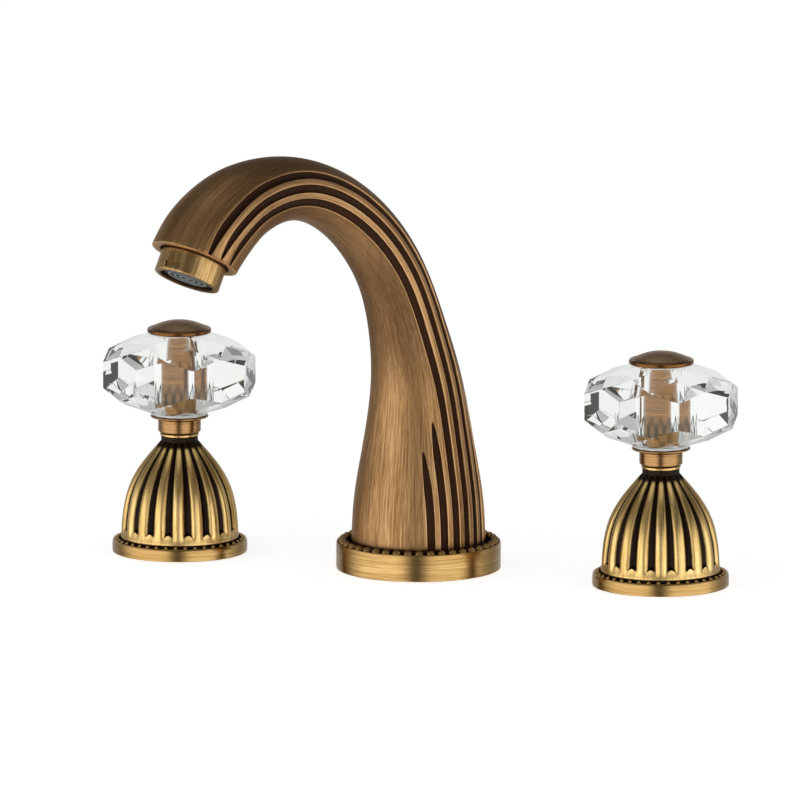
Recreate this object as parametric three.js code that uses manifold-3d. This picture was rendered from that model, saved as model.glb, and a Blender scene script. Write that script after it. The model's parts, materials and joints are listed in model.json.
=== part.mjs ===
// Three-hole basin mixer: a swivelling arched spout between two crystal-knob valves.
// Millimetres, +Z up. The origin is the spout's axis at the countertop's upper surface,
// the hot valve stands on -X, the cold valve on +X and the user stands on the -Y side.
import * as THREE from 'three';
import { mergeVertices } from 'three/addons/utils/BufferGeometryUtils.js';
import { ConvexGeometry } from 'three/addons/geometries/ConvexGeometry.js';
import Module from 'manifold-3d';

const wasm = await Module();
wasm.setup();

// ---------------------------------------------------------------- driving dimensions
const VALVE_SPREAD = 100;          // spout axis to each valve axis (8-inch widespread set)
const SPOUT_TURN = -22;            // degrees the spout is swivelled from square
const DECK = 25;                   // countertop thickness that the set is clamped to
const GAP = 0.3;                   // clearance between neighbouring pieces

const SEEN_SIDES = 24;             // facets round a visible turned piece
const FITTED_SIDES = 16;           // facets round a piece that turns or screws in another
const HIDDEN_SIDES = 12;           // facets round a small or hidden turned piece

// spout centre line: reach and height, with the body's radius there
const SPOUT_STATIONS = [
  [0, 5.6, 26.1], [0, 26.8, 25.2], [0, 48.5, 21.8], [1.5, 74.3, 17.7], [6.1, 93.9, 15.2],
  [15.4, 117.1, 13.5], [26.1, 131.8, 12.9], [45.1, 147.6, 12.2], [70.6, 157.3, 12.3],
  [93.4, 156.6, 14.3], [103.2, 153.7, 15.5], [113.0, 148.3, 16.6], [121.4, 141.3, 17.1],
  [125.2, 136.6, 17.1],
];
const OUTLET_TILT = 28.5;          // outlet axis from straight down, away from the base
const SPOUT_STEPS = 22;            // rings along the spout
const SPOUT_SIDES = 24;            // facets round the spout
const WATERWAY_R = 8;              // passage inside the arch

const GROOVE_WIDTH = 2.9;
const GROOVE_DEPTH = 1.2;
const GROOVE_PITCH = 5.45;         // groove to groove, measured on the surface
const GROOVE_SIDE = 88;            // degrees from the back of the bend to the middle groove
const GROOVE_FIRST_Z = 13;         // where the grooves start above the flange
const LONG_GROOVES = [-1, 0, 1];   // rows that run to the outlet
// rows that stop on the stem: row number and the height of its tip
const SHORT_GROOVES = [[-4, 54], [-3, 62], [-2, 70], [2, 64], [3, 53]];

const FLANGE_R = 32;
const FLANGE_TOP = 10.8;
const SKIRT = 0.2;                 // height of a flange's rim over the countertop, round its gasket
const GASKET_R = 29.6;
const FLANGE_WELL_R = 28.2;        // well in the flange that the spout turns in
const FLANGE_BEADS = 42;
const FLANGE_BEAD_R = 1.75;
const FLANGE_BEAD_CIRCLE = 29.9;

const SHANK_R = 10.4;              // G 1/2 thread
const SHANK_BOTTOM = -52;
const STUB_R = 9.4;                // journal that the spout turns on
const STUB_TOP = 42;
const SOCKET_R = 9.8;              // bore of the spout over the stub
const BUSHING_R = 13.5;
const BUSHING_TOP = 10.9;
const O_RING_HEIGHTS = [27, 35];
const O_RING_WIRE_R = 1.3;
const O_RING_CIRCLE = 8.2;
const SHANK_BORE = 5.5;
const SET_SCREW_Z = 17;
const SET_SCREW_R = 2.5;

const AERATOR_R = 12.85;
const AERATOR_DROP = 9;            // how far the sleeve stands out of the rim
const AERATOR_BORE = 11;
const AERATOR_LIP = 0.6;           // how far the sleeve's lip reaches in under the insert
const AERATOR_LIP_HEIGHT = 1.2;
const AERATOR_SLOT = [7, 4, 1.8];  // key slot pressed into the sleeve: width, depth, height
const AERATOR_SLOT_SIDE = 8;       // degrees round the outlet axis from the near side
const AERATOR_SLOT_DROP = 6.7;
const SCREEN_BOTTOM = -7.3;
const SCREEN_TOP = -5.7;

const TEE_TOP = -41;
const TEE_BOTTOM = -70;
const TEE_PORT_Z = -60;
const TEE_REACH = 27;
const PORT_R = 8.3;                // G 3/8 male thread
const PORT_BORE = 5.3;

const RING_R = 26.4;               // beaded ring under each bell
const RING_TOP = 5.2;
const RING_GASKET_R = 24.2;
const RING_BEADS = 40;
const RING_BEAD_R = 0.9;
const RING_BEAD_CIRCLE = 24.6;

// bell ridge line: radius and height
const BELL_STATIONS = [
  [23.1, 7], [22.5, 15.2], [20.9, 22.8], [17.9, 30.3], [12.5, 37.9], [7.6, 43.4],
];
const BELL_FLUTES = 18;
const FLUTE_DEPTH = 1.3;
const BELL_FOOT = 3.8;
const BELL_FOOT_R = 23.2;
const NECK_R = 7.2;
const NECK_TOP = 47;
const NECK_BORE = 5.2;

const VALVE_R = 13.2;              // G 3/4 thread
const VALVE_BOTTOM = -62;
const VALVE_TOP = 20;
const VALVE_PORT_Z = -47;
const VALVE_PORT_REACH = 27;
const INLET_BORE = 6;
const CARTRIDGE_R = 9.2;
const CARTRIDGE_BOTTOM = -9.9;
const CHAMBER_R = 11.2;
const DISC_R = 7.6;
const STEM_R = 4;
const STEM_TOP = 62;

const KNOB_LIFT = 0.8;             // raises the whole knob on its spindle, clear of the neck
const COLLAR_R = 8.35;
const COLLAR_FLANGE_R = 11.45;
const COLLAR_TOP = 53.2;
const SLEEVE_R = 7.8;
const CRYSTAL_MIDDLE = 70.1;       // height of the crystal's girdle
const CRYSTAL_SIDES = 8;
const CRYSTAL_TURN = -56.7;        // degrees from +X to the first vertical edge
const GIRDLE_R = 30.4;
const GIRDLE_HALF = 5.2;
const APEX_R = 28.1;
const APEX_Z = 8.7;
const CROWN_R = 21.5;
const TABLE_R = 12.5;
const CAP_R = 12.5;
const CAP_BOTTOM = 85.8;
const CAP_TOP = 90.7;

const UNDER_DECK_WASHER_R = 22;    // washers that press on the countertop's underside
const RUBBER_THICK = 2;
const STEEL_THICK = 1.5;
const NUT_HEIGHT = 8;
const SPOUT_NUT_FLATS = 32;        // across the flats of each nut
const VALVE_NUT_FLATS = 36;
const LOCK_NUT_FLATS = 33;

// ---------------------------------------------------------------- materials
const COLOURS = {
  brass: [0x9a7a50, 0.95, 0.38],
  dark_brass: [0x7c5f3c, 0.95, 0.42],
  bright_brass: [0xc9a468, 0.95, 0.3],
  raw_brass: [0xb8975a, 0.9, 0.45],
  crystal: [0xe6ece8, 0.0, 0.05],
  rubber: [0x24221f, 0.0, 0.85],
  plastic: [0x3a3a38, 0.0, 0.5],
  steel: [0xa8a8a4, 0.9, 0.35],
  ceramic: [0xd8d4c8, 0.0, 0.3],
};

const model = new THREE.Group();

function place(parent, name, geometry, colour) {
  const [color, metalness, roughness] = COLOURS[colour];
  const material = new THREE.MeshStandardMaterial({ color, metalness, roughness });
  const mesh = new THREE.Mesh(geometry, material);
  mesh.name = name;
  parent.add(mesh);
  return mesh;
}

// ---------------------------------------------------------------- shape helpers
const radians = THREE.MathUtils.degToRad;

// Shares the vertices of a closed geometry and drops the triangles that have no area.
function welded(geometry) {
  const bare = geometry.clone();
  bare.deleteAttribute('normal');
  bare.deleteAttribute('uv');
  const merged = mergeVertices(bare, 1e-4);
  const index = merged.getIndex().array;
  const kept = [];
  for (let i = 0; i < index.length; i += 3) {
    const [a, b, c] = [index[i], index[i + 1], index[i + 2]];
    if (a !== b && b !== c && c !== a) kept.push(a, b, c);
  }
  merged.setIndex(kept);
  return merged;
}

function toSolid(geometry) {
  const merged = welded(geometry);
  return new wasm.Manifold(new wasm.Mesh({
    numProp: 3,
    vertProperties: new Float32Array(merged.getAttribute('position').array),
    triVerts: new Uint32Array(merged.getIndex().array),
  }));
}

function toGeometry(solid) {
  const mesh = solid.getMesh();
  const geometry = new THREE.BufferGeometry();
  geometry.setAttribute('position', new THREE.BufferAttribute(new Float32Array(mesh.vertProperties), 3));
  geometry.setIndex(new THREE.BufferAttribute(new Uint32Array(mesh.triVerts), 1));
  return geometry;
}

function joined(base, ...others) {
  let solid = toSolid(base);
  for (const other of others) solid = solid.add(toSolid(other));
  return toGeometry(solid);
}

function cut(base, ...tools) {
  let solid = toSolid(base);
  for (const tool of tools) solid = solid.subtract(toSolid(tool));
  return toGeometry(solid);
}

// Turns a profile of [radius, height] points round Z. The points run anticlockwise.
function turned(profile, sides) {
  const points = profile.map(([r, z]) => new THREE.Vector2(r, z));
  if (profile[0][0] > 0) points.push(points[0].clone());
  return new THREE.LatheGeometry(points, sides).rotateX(Math.PI / 2);
}

function washer(inner, outer, bottom, top, sides = HIDDEN_SIDES) {
  return turned([[inner, bottom], [outer, bottom], [outer, top], [inner, top]], sides);
}

function rod(radius, bottom, top, sides = HIDDEN_SIDES) {
  return turned([[0, bottom], [radius, bottom], [radius, top], [0, top]], sides);
}

// A rod that lies along X, from one x to another, at a height.
function rodAlongX(radius, from, to, height, sides = HIDDEN_SIDES) {
  return rod(radius, from, to, sides).rotateY(Math.PI / 2).translate(0, 0, height);
}

function hexNut(acrossFlats, bore, bottom, top) {
  const outline = new THREE.Shape();
  const corner = acrossFlats / Math.sqrt(3);
  for (let i = 0; i < 6; i += 1) {
    const angle = radians(60 * i);
    const [x, y] = [corner * Math.cos(angle), corner * Math.sin(angle)];
    if (i === 0) outline.moveTo(x, y);
    else outline.lineTo(x, y);
  }
  outline.closePath();
  const hole = new THREE.Path().absarc(0, 0, bore, 0, 2 * Math.PI, true);
  outline.holes.push(hole);
  const settings = { depth: top - bottom, bevelEnabled: false, curveSegments: FITTED_SIDES / 2 };
  return new THREE.ExtrudeGeometry(outline, settings).translate(0, 0, bottom);
}

// A closed skin over rings of points, with a flat fan at both ends.
function skinned(rings) {
  const around = rings[0].length;
  const positions = [];
  for (const ring of rings) for (const p of ring) positions.push(p.x, p.y, p.z);
  const triangles = [];
  for (let i = 0; i + 1 < rings.length; i += 1) {
    for (let j = 0; j < around; j += 1) {
      const next = (j + 1) % around;
      const [a, b] = [i * around + j, i * around + next];
      const [c, d] = [a + around, b + around];
      triangles.push(a, b, d, a, d, c);
    }
  }
  for (const [end, flip] of [[0, true], [rings.length - 1, false]]) {
    const middle = new THREE.Vector3();
    for (const p of rings[end]) middle.addScaledVector(p, 1 / around);
    const centre = positions.length / 3;
    positions.push(middle.x, middle.y, middle.z);
    for (let j = 0; j < around; j += 1) {
      const [a, b] = [end * around + j, end * around + (j + 1) % around];
      if (flip) triangles.push(b, a, centre);
      else triangles.push(a, b, centre);
    }
  }
  const geometry = new THREE.BufferGeometry();
  geometry.setAttribute('position', new THREE.Float32BufferAttribute(positions, 3));
  geometry.setIndex(triangles);
  return geometry;
}

function ringOfBeads(count, circle, radius, height) {
  const beads = [];
  for (let i = 0; i < count; i += 1) {
    const angle = (2 * Math.PI * i) / count;
    const bead = new THREE.OctahedronGeometry(radius).rotateZ(angle);
    beads.push(bead.translate(circle * Math.cos(angle), circle * Math.sin(angle), height));
  }
  return beads;
}

// ---------------------------------------------------------------- spout centre line
// In the spout's own frame the outlet points to -Y.
const centreLine = new THREE.CatmullRomCurve3(
  SPOUT_STATIONS.map(([reach, z]) => new THREE.Vector3(0, -reach, z)), false, 'centripetal');
const radiusLine = new THREE.SplineCurve(SPOUT_STATIONS.map(([, , r], i) => new THREE.Vector2(i, r)));
const outletAxis = new THREE.Vector3(0, -Math.sin(radians(OUTLET_TILT)), -Math.cos(radians(OUTLET_TILT)));
const outletCentre = centreLine.getPoint(1);

// The way along the centre line, straight up at the foot and on the outlet axis at the end.
function directionAt(t) {
  if (t <= 0) return new THREE.Vector3(0, 0, 1);
  if (t >= 1) return outletAxis.clone();
  return centreLine.getTangent(t);
}

// A point on a tube round the centre line. The angle is measured from the back of the bend.
function onTube(t, radius, angle) {
  const side = new THREE.Vector3(-1, 0, 0);
  const back = new THREE.Vector3().crossVectors(side, directionAt(t));
  return centreLine.getPoint(t)
    .addScaledVector(back, radius * Math.cos(angle))
    .addScaledVector(side, radius * Math.sin(angle));
}

function tubeRing(t, radius, sides) {
  const ring = [];
  for (let j = 0; j < sides; j += 1) ring.push(onTube(t, radius, (2 * Math.PI * j) / sides));
  return ring;
}

function sweptTube(from, to, steps, sides, radiusAt) {
  const rings = [];
  for (let i = 0; i <= steps; i += 1) {
    const t = from + ((to - from) * i) / steps;
    rings.push(tubeRing(t, radiusAt(t), sides));
  }
  return skinned(rings);
}

// A bar with a pointed tip that follows the surface and cuts one groove.
function grooveTool(row, flank, from, to) {
  const steps = Math.max(2, Math.round(11 * (to - from)));
  const rings = [];
  for (let i = 0; i <= steps; i += 1) {
    const t = from + ((to - from) * i) / steps;
    const radius = radiusLine.getPoint(t).y;
    const narrowing = i < steps ? 1 : 0.1;
    const half = (GROOVE_WIDTH / 2 / radius) * narrowing;
    const middle = radians(GROOVE_SIDE) + (row * GROOVE_PITCH) / radius;
    const [low, high] = [radius - GROOVE_DEPTH * narrowing, radius + 1.5];
    rings.push([
      onTube(t, low, flank * (middle - half)), onTube(t, low, flank * (middle + half)),
      onTube(t, high, flank * (middle + half)), onTube(t, high, flank * (middle - half)),
    ]);
  }
  if (flank > 0) for (const ring of rings) ring.reverse();
  return skinned(rings);
}

// The centre line's parameter at a height on the stem.
function parameterAtHeight(z) {
  let [low, high] = [0, 0.4];
  for (let i = 0; i < 30; i += 1) {
    const middle = (low + high) / 2;
    if (centreLine.getPoint(middle).z < z) low = middle;
    else high = middle;
  }
  return low;
}

// Moves a piece built along Z with its top at zero onto the outlet, pointing down the axis.
function ontoOutlet(geometry) {
  const turn = new THREE.Quaternion().setFromUnitVectors(new THREE.Vector3(0, 0, -1), outletAxis);
  return geometry.applyQuaternion(turn).translate(outletCentre.x, outletCentre.y, outletCentre.z);
}

// ---------------------------------------------------------------- spout pieces
function spoutBody() {
  const outside = sweptTube(0, 1, SPOUT_STEPS, SPOUT_SIDES, (t) => radiusLine.getPoint(t).y);
  const above = parameterAtHeight(STUB_TOP - 2);
  const waterway = sweptTube(above, 0.995, 20, 8, () => WATERWAY_R);
  const hollow = turned([
    [17, 5], [23, 5], [22.3, 26.8], [19.5, 44], [13, 50], [13, 24], [17, 22],
  ], FITTED_SIDES);
  const screwHole = rod(SET_SCREW_R + GAP, 8, 30, 8).rotateX(-Math.PI / 2).translate(0, 0, SET_SCREW_Z);
  const tools = [
    waterway,
    hollow,
    screwHole,
    rod(SOCKET_R, 5, STUB_TOP + 1.5, FITTED_SIDES),
    rod(BUSHING_R + GAP, 5, BUSHING_TOP + GAP, FITTED_SIDES),
    ontoOutlet(rod(AERATOR_R + GAP, -1, 10.3, SEEN_SIDES)),
  ];
  const start = parameterAtHeight(GROOVE_FIRST_Z);
  for (const flank of [1, -1]) {
    for (const row of LONG_GROOVES) {
      tools.push(grooveTool(row, flank, start, row < 0 ? 0.985 : 0.96));
    }
    for (const [row, tip] of SHORT_GROOVES) {
      tools.push(grooveTool(row, flank, start, parameterAtHeight(tip)));
    }
  }
  return cut(outside, ...tools);
}

function spoutFlange() {
  const plate = turned([
    [SHANK_R + 0.4, 1.8], [GASKET_R + GAP, 1.8], [GASKET_R + GAP, SKIRT], [FLANGE_R, SKIRT],
    [FLANGE_R, FLANGE_TOP - 2.2], [FLANGE_R - 0.7, FLANGE_TOP - 0.7],
    [FLANGE_R - 2.2, FLANGE_TOP], [FLANGE_WELL_R, FLANGE_TOP], [FLANGE_WELL_R, 3.6],
    [SHANK_R + 0.4, 3.6],
  ], SEEN_SIDES);
  return joined(plate, ...ringOfBeads(FLANGE_BEADS, FLANGE_BEAD_CIRCLE, FLANGE_BEAD_R, FLANGE_TOP - 0.3));
}

function spoutShank() {
  const groove = O_RING_CIRCLE - O_RING_WIRE_R - GAP;
  const profile = [
    [SHANK_BORE, SHANK_BOTTOM], [SHANK_R, SHANK_BOTTOM], [SHANK_R, 3.9], [15, 3.9], [15, 5.3], [STUB_R, 5.3],
    [STUB_R, SET_SCREW_Z - 3], [8.2, SET_SCREW_Z - 3], [8.2, SET_SCREW_Z + 3], [STUB_R, SET_SCREW_Z + 3],
  ];
  for (const z of O_RING_HEIGHTS) {
    const half = O_RING_WIRE_R + GAP;
    profile.push([STUB_R, z - half], [groove, z - half], [groove, z + half], [STUB_R, z + half]);
  }
  profile.push([STUB_R, STUB_TOP], [SHANK_BORE, STUB_TOP]);
  return turned(profile, FITTED_SIDES);
}

function oRing(height) {
  return new THREE.TorusGeometry(O_RING_CIRCLE, O_RING_WIRE_R, 6, FITTED_SIDES).translate(0, 0, height);
}

function setScrew() {
  const screw = rod(SET_SCREW_R, 8.6, 16.5, 8).rotateX(-Math.PI / 2).translate(0, 0, SET_SCREW_Z);
  const key = new THREE.CylinderGeometry(1.3, 1.3, 3, 6).translate(0, 16.5, SET_SCREW_Z);
  return cut(screw, key);
}

function aeratorHousing() {
  const sleeve = turned([
    [AERATOR_BORE, -8], [AERATOR_R, -8], [AERATOR_R, AERATOR_DROP - 0.8],
    [AERATOR_R - 0.8, AERATOR_DROP], [AERATOR_BORE - AERATOR_LIP, AERATOR_DROP],
    [AERATOR_BORE - AERATOR_LIP, AERATOR_DROP - AERATOR_LIP_HEIGHT],
    [AERATOR_BORE, AERATOR_DROP - AERATOR_LIP_HEIGHT],
  ].map(([r, drop]) => [r, -drop]).reverse(), SEEN_SIDES);
  const slot = new THREE.BoxGeometry(...AERATOR_SLOT)
    .translate(0, -AERATOR_R - 1.2, -AERATOR_SLOT_DROP)
    .rotateZ(radians(AERATOR_SLOT_SIDE));
  return ontoOutlet(cut(sleeve, slot));
}

function aeratorInsert() {
  const wall = 1.4;
  const outer = AERATOR_BORE - GAP;
  const [floor, bottom] = [SCREEN_TOP + GAP, AERATOR_LIP_HEIGHT + GAP - AERATOR_DROP];
  const cup = turned([
    [0, floor], [outer - wall, floor], [outer - wall, bottom], [outer, bottom], [outer, 6], [0, 6],
  ], HIDDEN_SIDES);
  const holes = [];
  for (let i = 0; i < 6; i += 1) {
    const angle = radians(60 * i);
    holes.push(rod(1.6, -8, 8, 6).translate(5.4 * Math.cos(angle), 5.4 * Math.sin(angle), 0));
  }
  return ontoOutlet(cut(cup, ...holes));
}

function aeratorScreen() {
  const disc = rod(AERATOR_BORE - 2.1, SCREEN_BOTTOM, SCREEN_TOP);
  const recess = washer(3, 7.2, SCREEN_BOTTOM - 0.3, SCREEN_BOTTOM + 0.5);
  const ports = [];
  for (let i = 0; i < 8; i += 1) {
    const angle = radians(45 * i + 22.5);
    ports.push(rod(0.9, SCREEN_BOTTOM - 1, SCREEN_TOP + 1, 5).translate(5.1 * Math.cos(angle), 5.1 * Math.sin(angle), 0));
  }
  return ontoOutlet(cut(disc, recess, ...ports));
}

// Rubber washer, steel washer and nut under the countertop, round a threaded pipe.
function underDeck(pipeR, flats, nutHeight) {
  const rubberBottom = -DECK - RUBBER_THICK;
  const steelTop = rubberBottom - GAP;
  const nutTop = steelTop - STEEL_THICK - GAP;
  return {
    rubber: washer(pipeR + 0.5, UNDER_DECK_WASHER_R, rubberBottom, -DECK),
    steel: washer(pipeR + 0.5, UNDER_DECK_WASHER_R, steelTop - STEEL_THICK, steelTop),
    nut: hexNut(flats, pipeR + GAP, nutTop - nutHeight, nutTop),
  };
}

function inletTee() {
  const body = joined(
    rod(14, TEE_BOTTOM, TEE_TOP),
    rodAlongX(PORT_R, -TEE_REACH, TEE_REACH, TEE_PORT_Z),
  );
  return cut(
    body,
    rod(SHANK_R + GAP, -53, TEE_TOP + 1, FITTED_SIDES),
    rod(INLET_BORE, TEE_PORT_Z - 4, -52),
    rodAlongX(PORT_BORE, -TEE_REACH - 1, TEE_REACH + 1, TEE_PORT_Z, 12),
  );
}

function addSpout() {
  place(model, 'spout_gasket', washer(SHANK_R + 0.8, GASKET_R, 0, 1.5, SEEN_SIDES), 'rubber');
  place(model, 'spout_flange', spoutFlange(), 'brass');
  place(model, 'spout_shank', spoutShank(), 'raw_brass');
  place(model, 'swivel_bushing', washer(STUB_R + GAP, BUSHING_R, 5.6, BUSHING_TOP, FITTED_SIDES), 'plastic');
  place(model, 'spout_o_ring_lower', oRing(O_RING_HEIGHTS[0]), 'rubber');
  place(model, 'spout_o_ring_upper', oRing(O_RING_HEIGHTS[1]), 'rubber');
  const clamp = underDeck(SHANK_R, SPOUT_NUT_FLATS, NUT_HEIGHT);
  place(model, 'spout_rubber_washer', clamp.rubber, 'rubber');
  place(model, 'spout_steel_washer', clamp.steel, 'steel');
  place(model, 'spout_mounting_nut', clamp.nut, 'raw_brass');
  place(model, 'inlet_tee', inletTee(), 'raw_brass');

  const swivel = new THREE.Group();
  swivel.rotation.z = radians(SPOUT_TURN);
  model.add(swivel);
  place(swivel, 'spout_body', spoutBody(), 'brass');
  place(swivel, 'spout_set_screw', setScrew(), 'steel');
  place(swivel, 'aerator_housing', aeratorHousing(), 'brass');
  place(swivel, 'aerator_insert', aeratorInsert(), 'plastic');
  place(swivel, 'aerator_screen', aeratorScreen(), 'plastic');
  place(swivel, 'aerator_washer', ontoOutlet(washer(WATERWAY_R + 1, AERATOR_R, 8.3, 9.8)), 'rubber');
}

// ---------------------------------------------------------------- valve pieces
function baseRing() {
  const plate = turned([
    [VALVE_R + 0.4, 1.5], [RING_GASKET_R + GAP, 1.5], [RING_GASKET_R + GAP, SKIRT], [RING_R, SKIRT],
    [RING_R, 3], [RING_R - 0.8, 4.6], [RING_R - 2, RING_TOP],
    [BELL_FOOT_R + GAP, RING_TOP], [BELL_FOOT_R + GAP, 3.5], [VALVE_R + 0.4, 3.5],
  ], SEEN_SIDES);
  return joined(plate, ...ringOfBeads(RING_BEADS, RING_BEAD_CIRCLE, RING_BEAD_R, RING_TOP - 0.2));
}

// The fluted skin: ridges on the bell's own curve, hollows between them.
function flutedSkin() {
  const curve = new THREE.SplineCurve(BELL_STATIONS.map(([r, z]) => new THREE.Vector2(r, z)));
  const rows = [[BELL_FOOT_R, BELL_FOOT, 0], [BELL_FOOT_R, 6.4, 0]];
  const steps = 6;
  for (let i = 0; i <= steps; i += 1) {
    const point = curve.getPoint(i / steps);
    const fade = Math.min(1, Math.sin((Math.PI * i) / steps) * 2.2);
    rows.push([point.x, point.y, FLUTE_DEPTH * fade * (point.x / BELL_FOOT_R) ** 0.6]);
  }
  rows.push([NECK_R, 43.9, 0], [NECK_R, NECK_TOP - 1, 0]);
  rows.push([NECK_R + 0.4, NECK_TOP - 0.8, 0], [NECK_R + 0.4, NECK_TOP, 0]);
  const perFlute = 2;
  const rings = rows.map(([radius, z, depth]) => {
    const ring = [];
    for (let j = 0; j < BELL_FLUTES * perFlute; j += 1) {
      const angle = (2 * Math.PI * j) / (BELL_FLUTES * perFlute) + radians(CRYSTAL_TURN + 7.1);
      const r = j % perFlute === 0 ? radius : radius - depth;
      ring.push(new THREE.Vector3(r * Math.cos(angle), r * Math.sin(angle), z));
    }
    return ring;
  });
  return skinned(rings);
}

function bell() {
  const inside = turned([
    [0, BELL_FOOT - 1], [20.8, BELL_FOOT - 1], [20.4, 8], [19.6, 14], [18.2, 18.5], [14.6, 20], [14.6, 25],
    [13, 29], [NECK_BORE, 38.5], [NECK_BORE, NECK_TOP + 1], [0, NECK_TOP + 1],
  ], FITTED_SIDES);
  return cut(flutedSkin(), inside);
}

function valveBody(side) {
  const outside = joined(
    turned([
      [0, VALVE_BOTTOM], [VALVE_R, VALVE_BOTTOM], [VALVE_R, 11.5], [12.4, 12.2], [12.4, VALVE_TOP],
      [0, VALVE_TOP],
    ], FITTED_SIDES),
    rodAlongX(PORT_R, 2, VALVE_PORT_REACH, VALVE_PORT_Z),
  );
  const inlet = rod(INLET_BORE - 0.5, VALVE_BOTTOM - 1, -11);
  const chamber = rod(CHAMBER_R, -12, VALVE_TOP + 1, FITTED_SIDES);
  const downWay = rod(2, VALVE_PORT_Z, -10, 8).translate(8.6, 0, 0);
  const outlet = rodAlongX(4.5, 8, VALVE_PORT_REACH + 1, VALVE_PORT_Z, 12);
  const body = cut(outside, inlet, chamber, downWay, outlet);
  return side > 0 ? body : body.rotateZ(Math.PI);
}

function cartridgeBody() {
  const shell = turned([
    [DISC_R + GAP, CARTRIDGE_BOTTOM], [CARTRIDGE_R, CARTRIDGE_BOTTOM], [CARTRIDGE_R, VALVE_TOP + 0.3],
    [12, VALVE_TOP + 0.3], [12, 22.3], [5.7, 22.3], [5.7, 26], [STEM_R + GAP, 26],
    [STEM_R + GAP, 1.3], [DISC_R + GAP, 1.3],
  ], FITTED_SIDES);
  return cut(shell, rodAlongX(2, -12, 12, -1, 6));
}

function ceramicDisc(bottom, top) {
  const ports = [-4, 4].map((x) => rod(2.2, bottom - 1, top + 1, 6).translate(x, 0, 0));
  return cut(rod(DISC_R, bottom, top), ...ports);
}

function spindle() {
  return turned([
    [0, -2.5], [DISC_R, -2.5], [DISC_R, 1], [STEM_R, 1], [STEM_R, STEM_TOP], [2.2, STEM_TOP],
    [2.2, 52], [0, 52],
  ], HIDDEN_SIDES);
}

function knobCollar() {
  const bore = STEM_R + 0.6;
  return turned([
    [bore, 46.6], [COLLAR_R - 0.5, 46.6], [COLLAR_R, 47.2], [COLLAR_R, 51.4], [COLLAR_R - 0.4, 52],
    [COLLAR_FLANGE_R, 52.2], [COLLAR_FLANGE_R, COLLAR_TOP - 0.2], [COLLAR_FLANGE_R - 0.3, COLLAR_TOP],
    [bore, COLLAR_TOP],
  ], 20);
}

function knobSleeve() {
  return turned([
    [STEM_R + 0.35, 53.5], [SLEEVE_R, 53.5], [SLEEVE_R, 85.4], [4.6, 85.4], [4.6, 80], [2.3, 80],
    [2.3, 64], [STEM_R + 0.35, 64],
  ], FITTED_SIDES);
}

function knobScrew() {
  const screw = turned([[0, 54], [1.8, 54], [1.8, 80.3], [4.2, 80.3], [4.2, 83.2], [0, 83.2]], HIDDEN_SIDES);
  return cut(screw, new THREE.BoxGeometry(10, 1, 2.4).translate(0, 0, 83.2));
}

function knobCap() {
  return turned([
    [0, 84], [4.3, 84], [4.3, CAP_BOTTOM], [CAP_R - 0.4, CAP_BOTTOM], [CAP_R, CAP_BOTTOM + 0.5],
    [CAP_R, 87.6], [CAP_R - 0.5, 88], [10.6, 88.1], [8.4, 89.3], [5, 90.3], [0, CAP_TOP],
  ], 20);
}

// Eight-sided crystal: vertical edges at the girdle, kite facets above and below them.
function knobCrystal() {
  const halfTurn = Math.PI / CRYSTAL_SIDES;
  const apexIn = APEX_R * Math.cos(halfTurn);
  const crownIn = CROWN_R * Math.cos(halfTurn);
  const kiteSlope = (APEX_Z - GIRDLE_HALF) / (GIRDLE_R - apexIn);
  const crownZ = GIRDLE_HALF + (GIRDLE_R - CROWN_R) * kiteSlope;
  const tableZ = crownZ + ((crownIn - TABLE_R) * (crownZ - APEX_Z)) / (APEX_R - crownIn);
  const corners = [];
  for (let k = 0; k < CRYSTAL_SIDES; k += 1) {
    const edge = radians(CRYSTAL_TURN) + 2 * halfTurn * k;
    const between = edge + halfTurn;
    for (const way of [1, -1]) {
      for (const [radius, height, angle] of [
        [GIRDLE_R, GIRDLE_HALF, edge], [APEX_R, APEX_Z, between],
        [CROWN_R, crownZ, edge], [TABLE_R, tableZ, between],
      ]) {
        const [x, y] = [radius * Math.cos(angle), radius * Math.sin(angle)];
        corners.push(new THREE.Vector3(x, y, CRYSTAL_MIDDLE + way * height));
      }
    }
  }
  return cut(new ConvexGeometry(corners), rod(SLEEVE_R + GAP, 40, 100, FITTED_SIDES));
}

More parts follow.
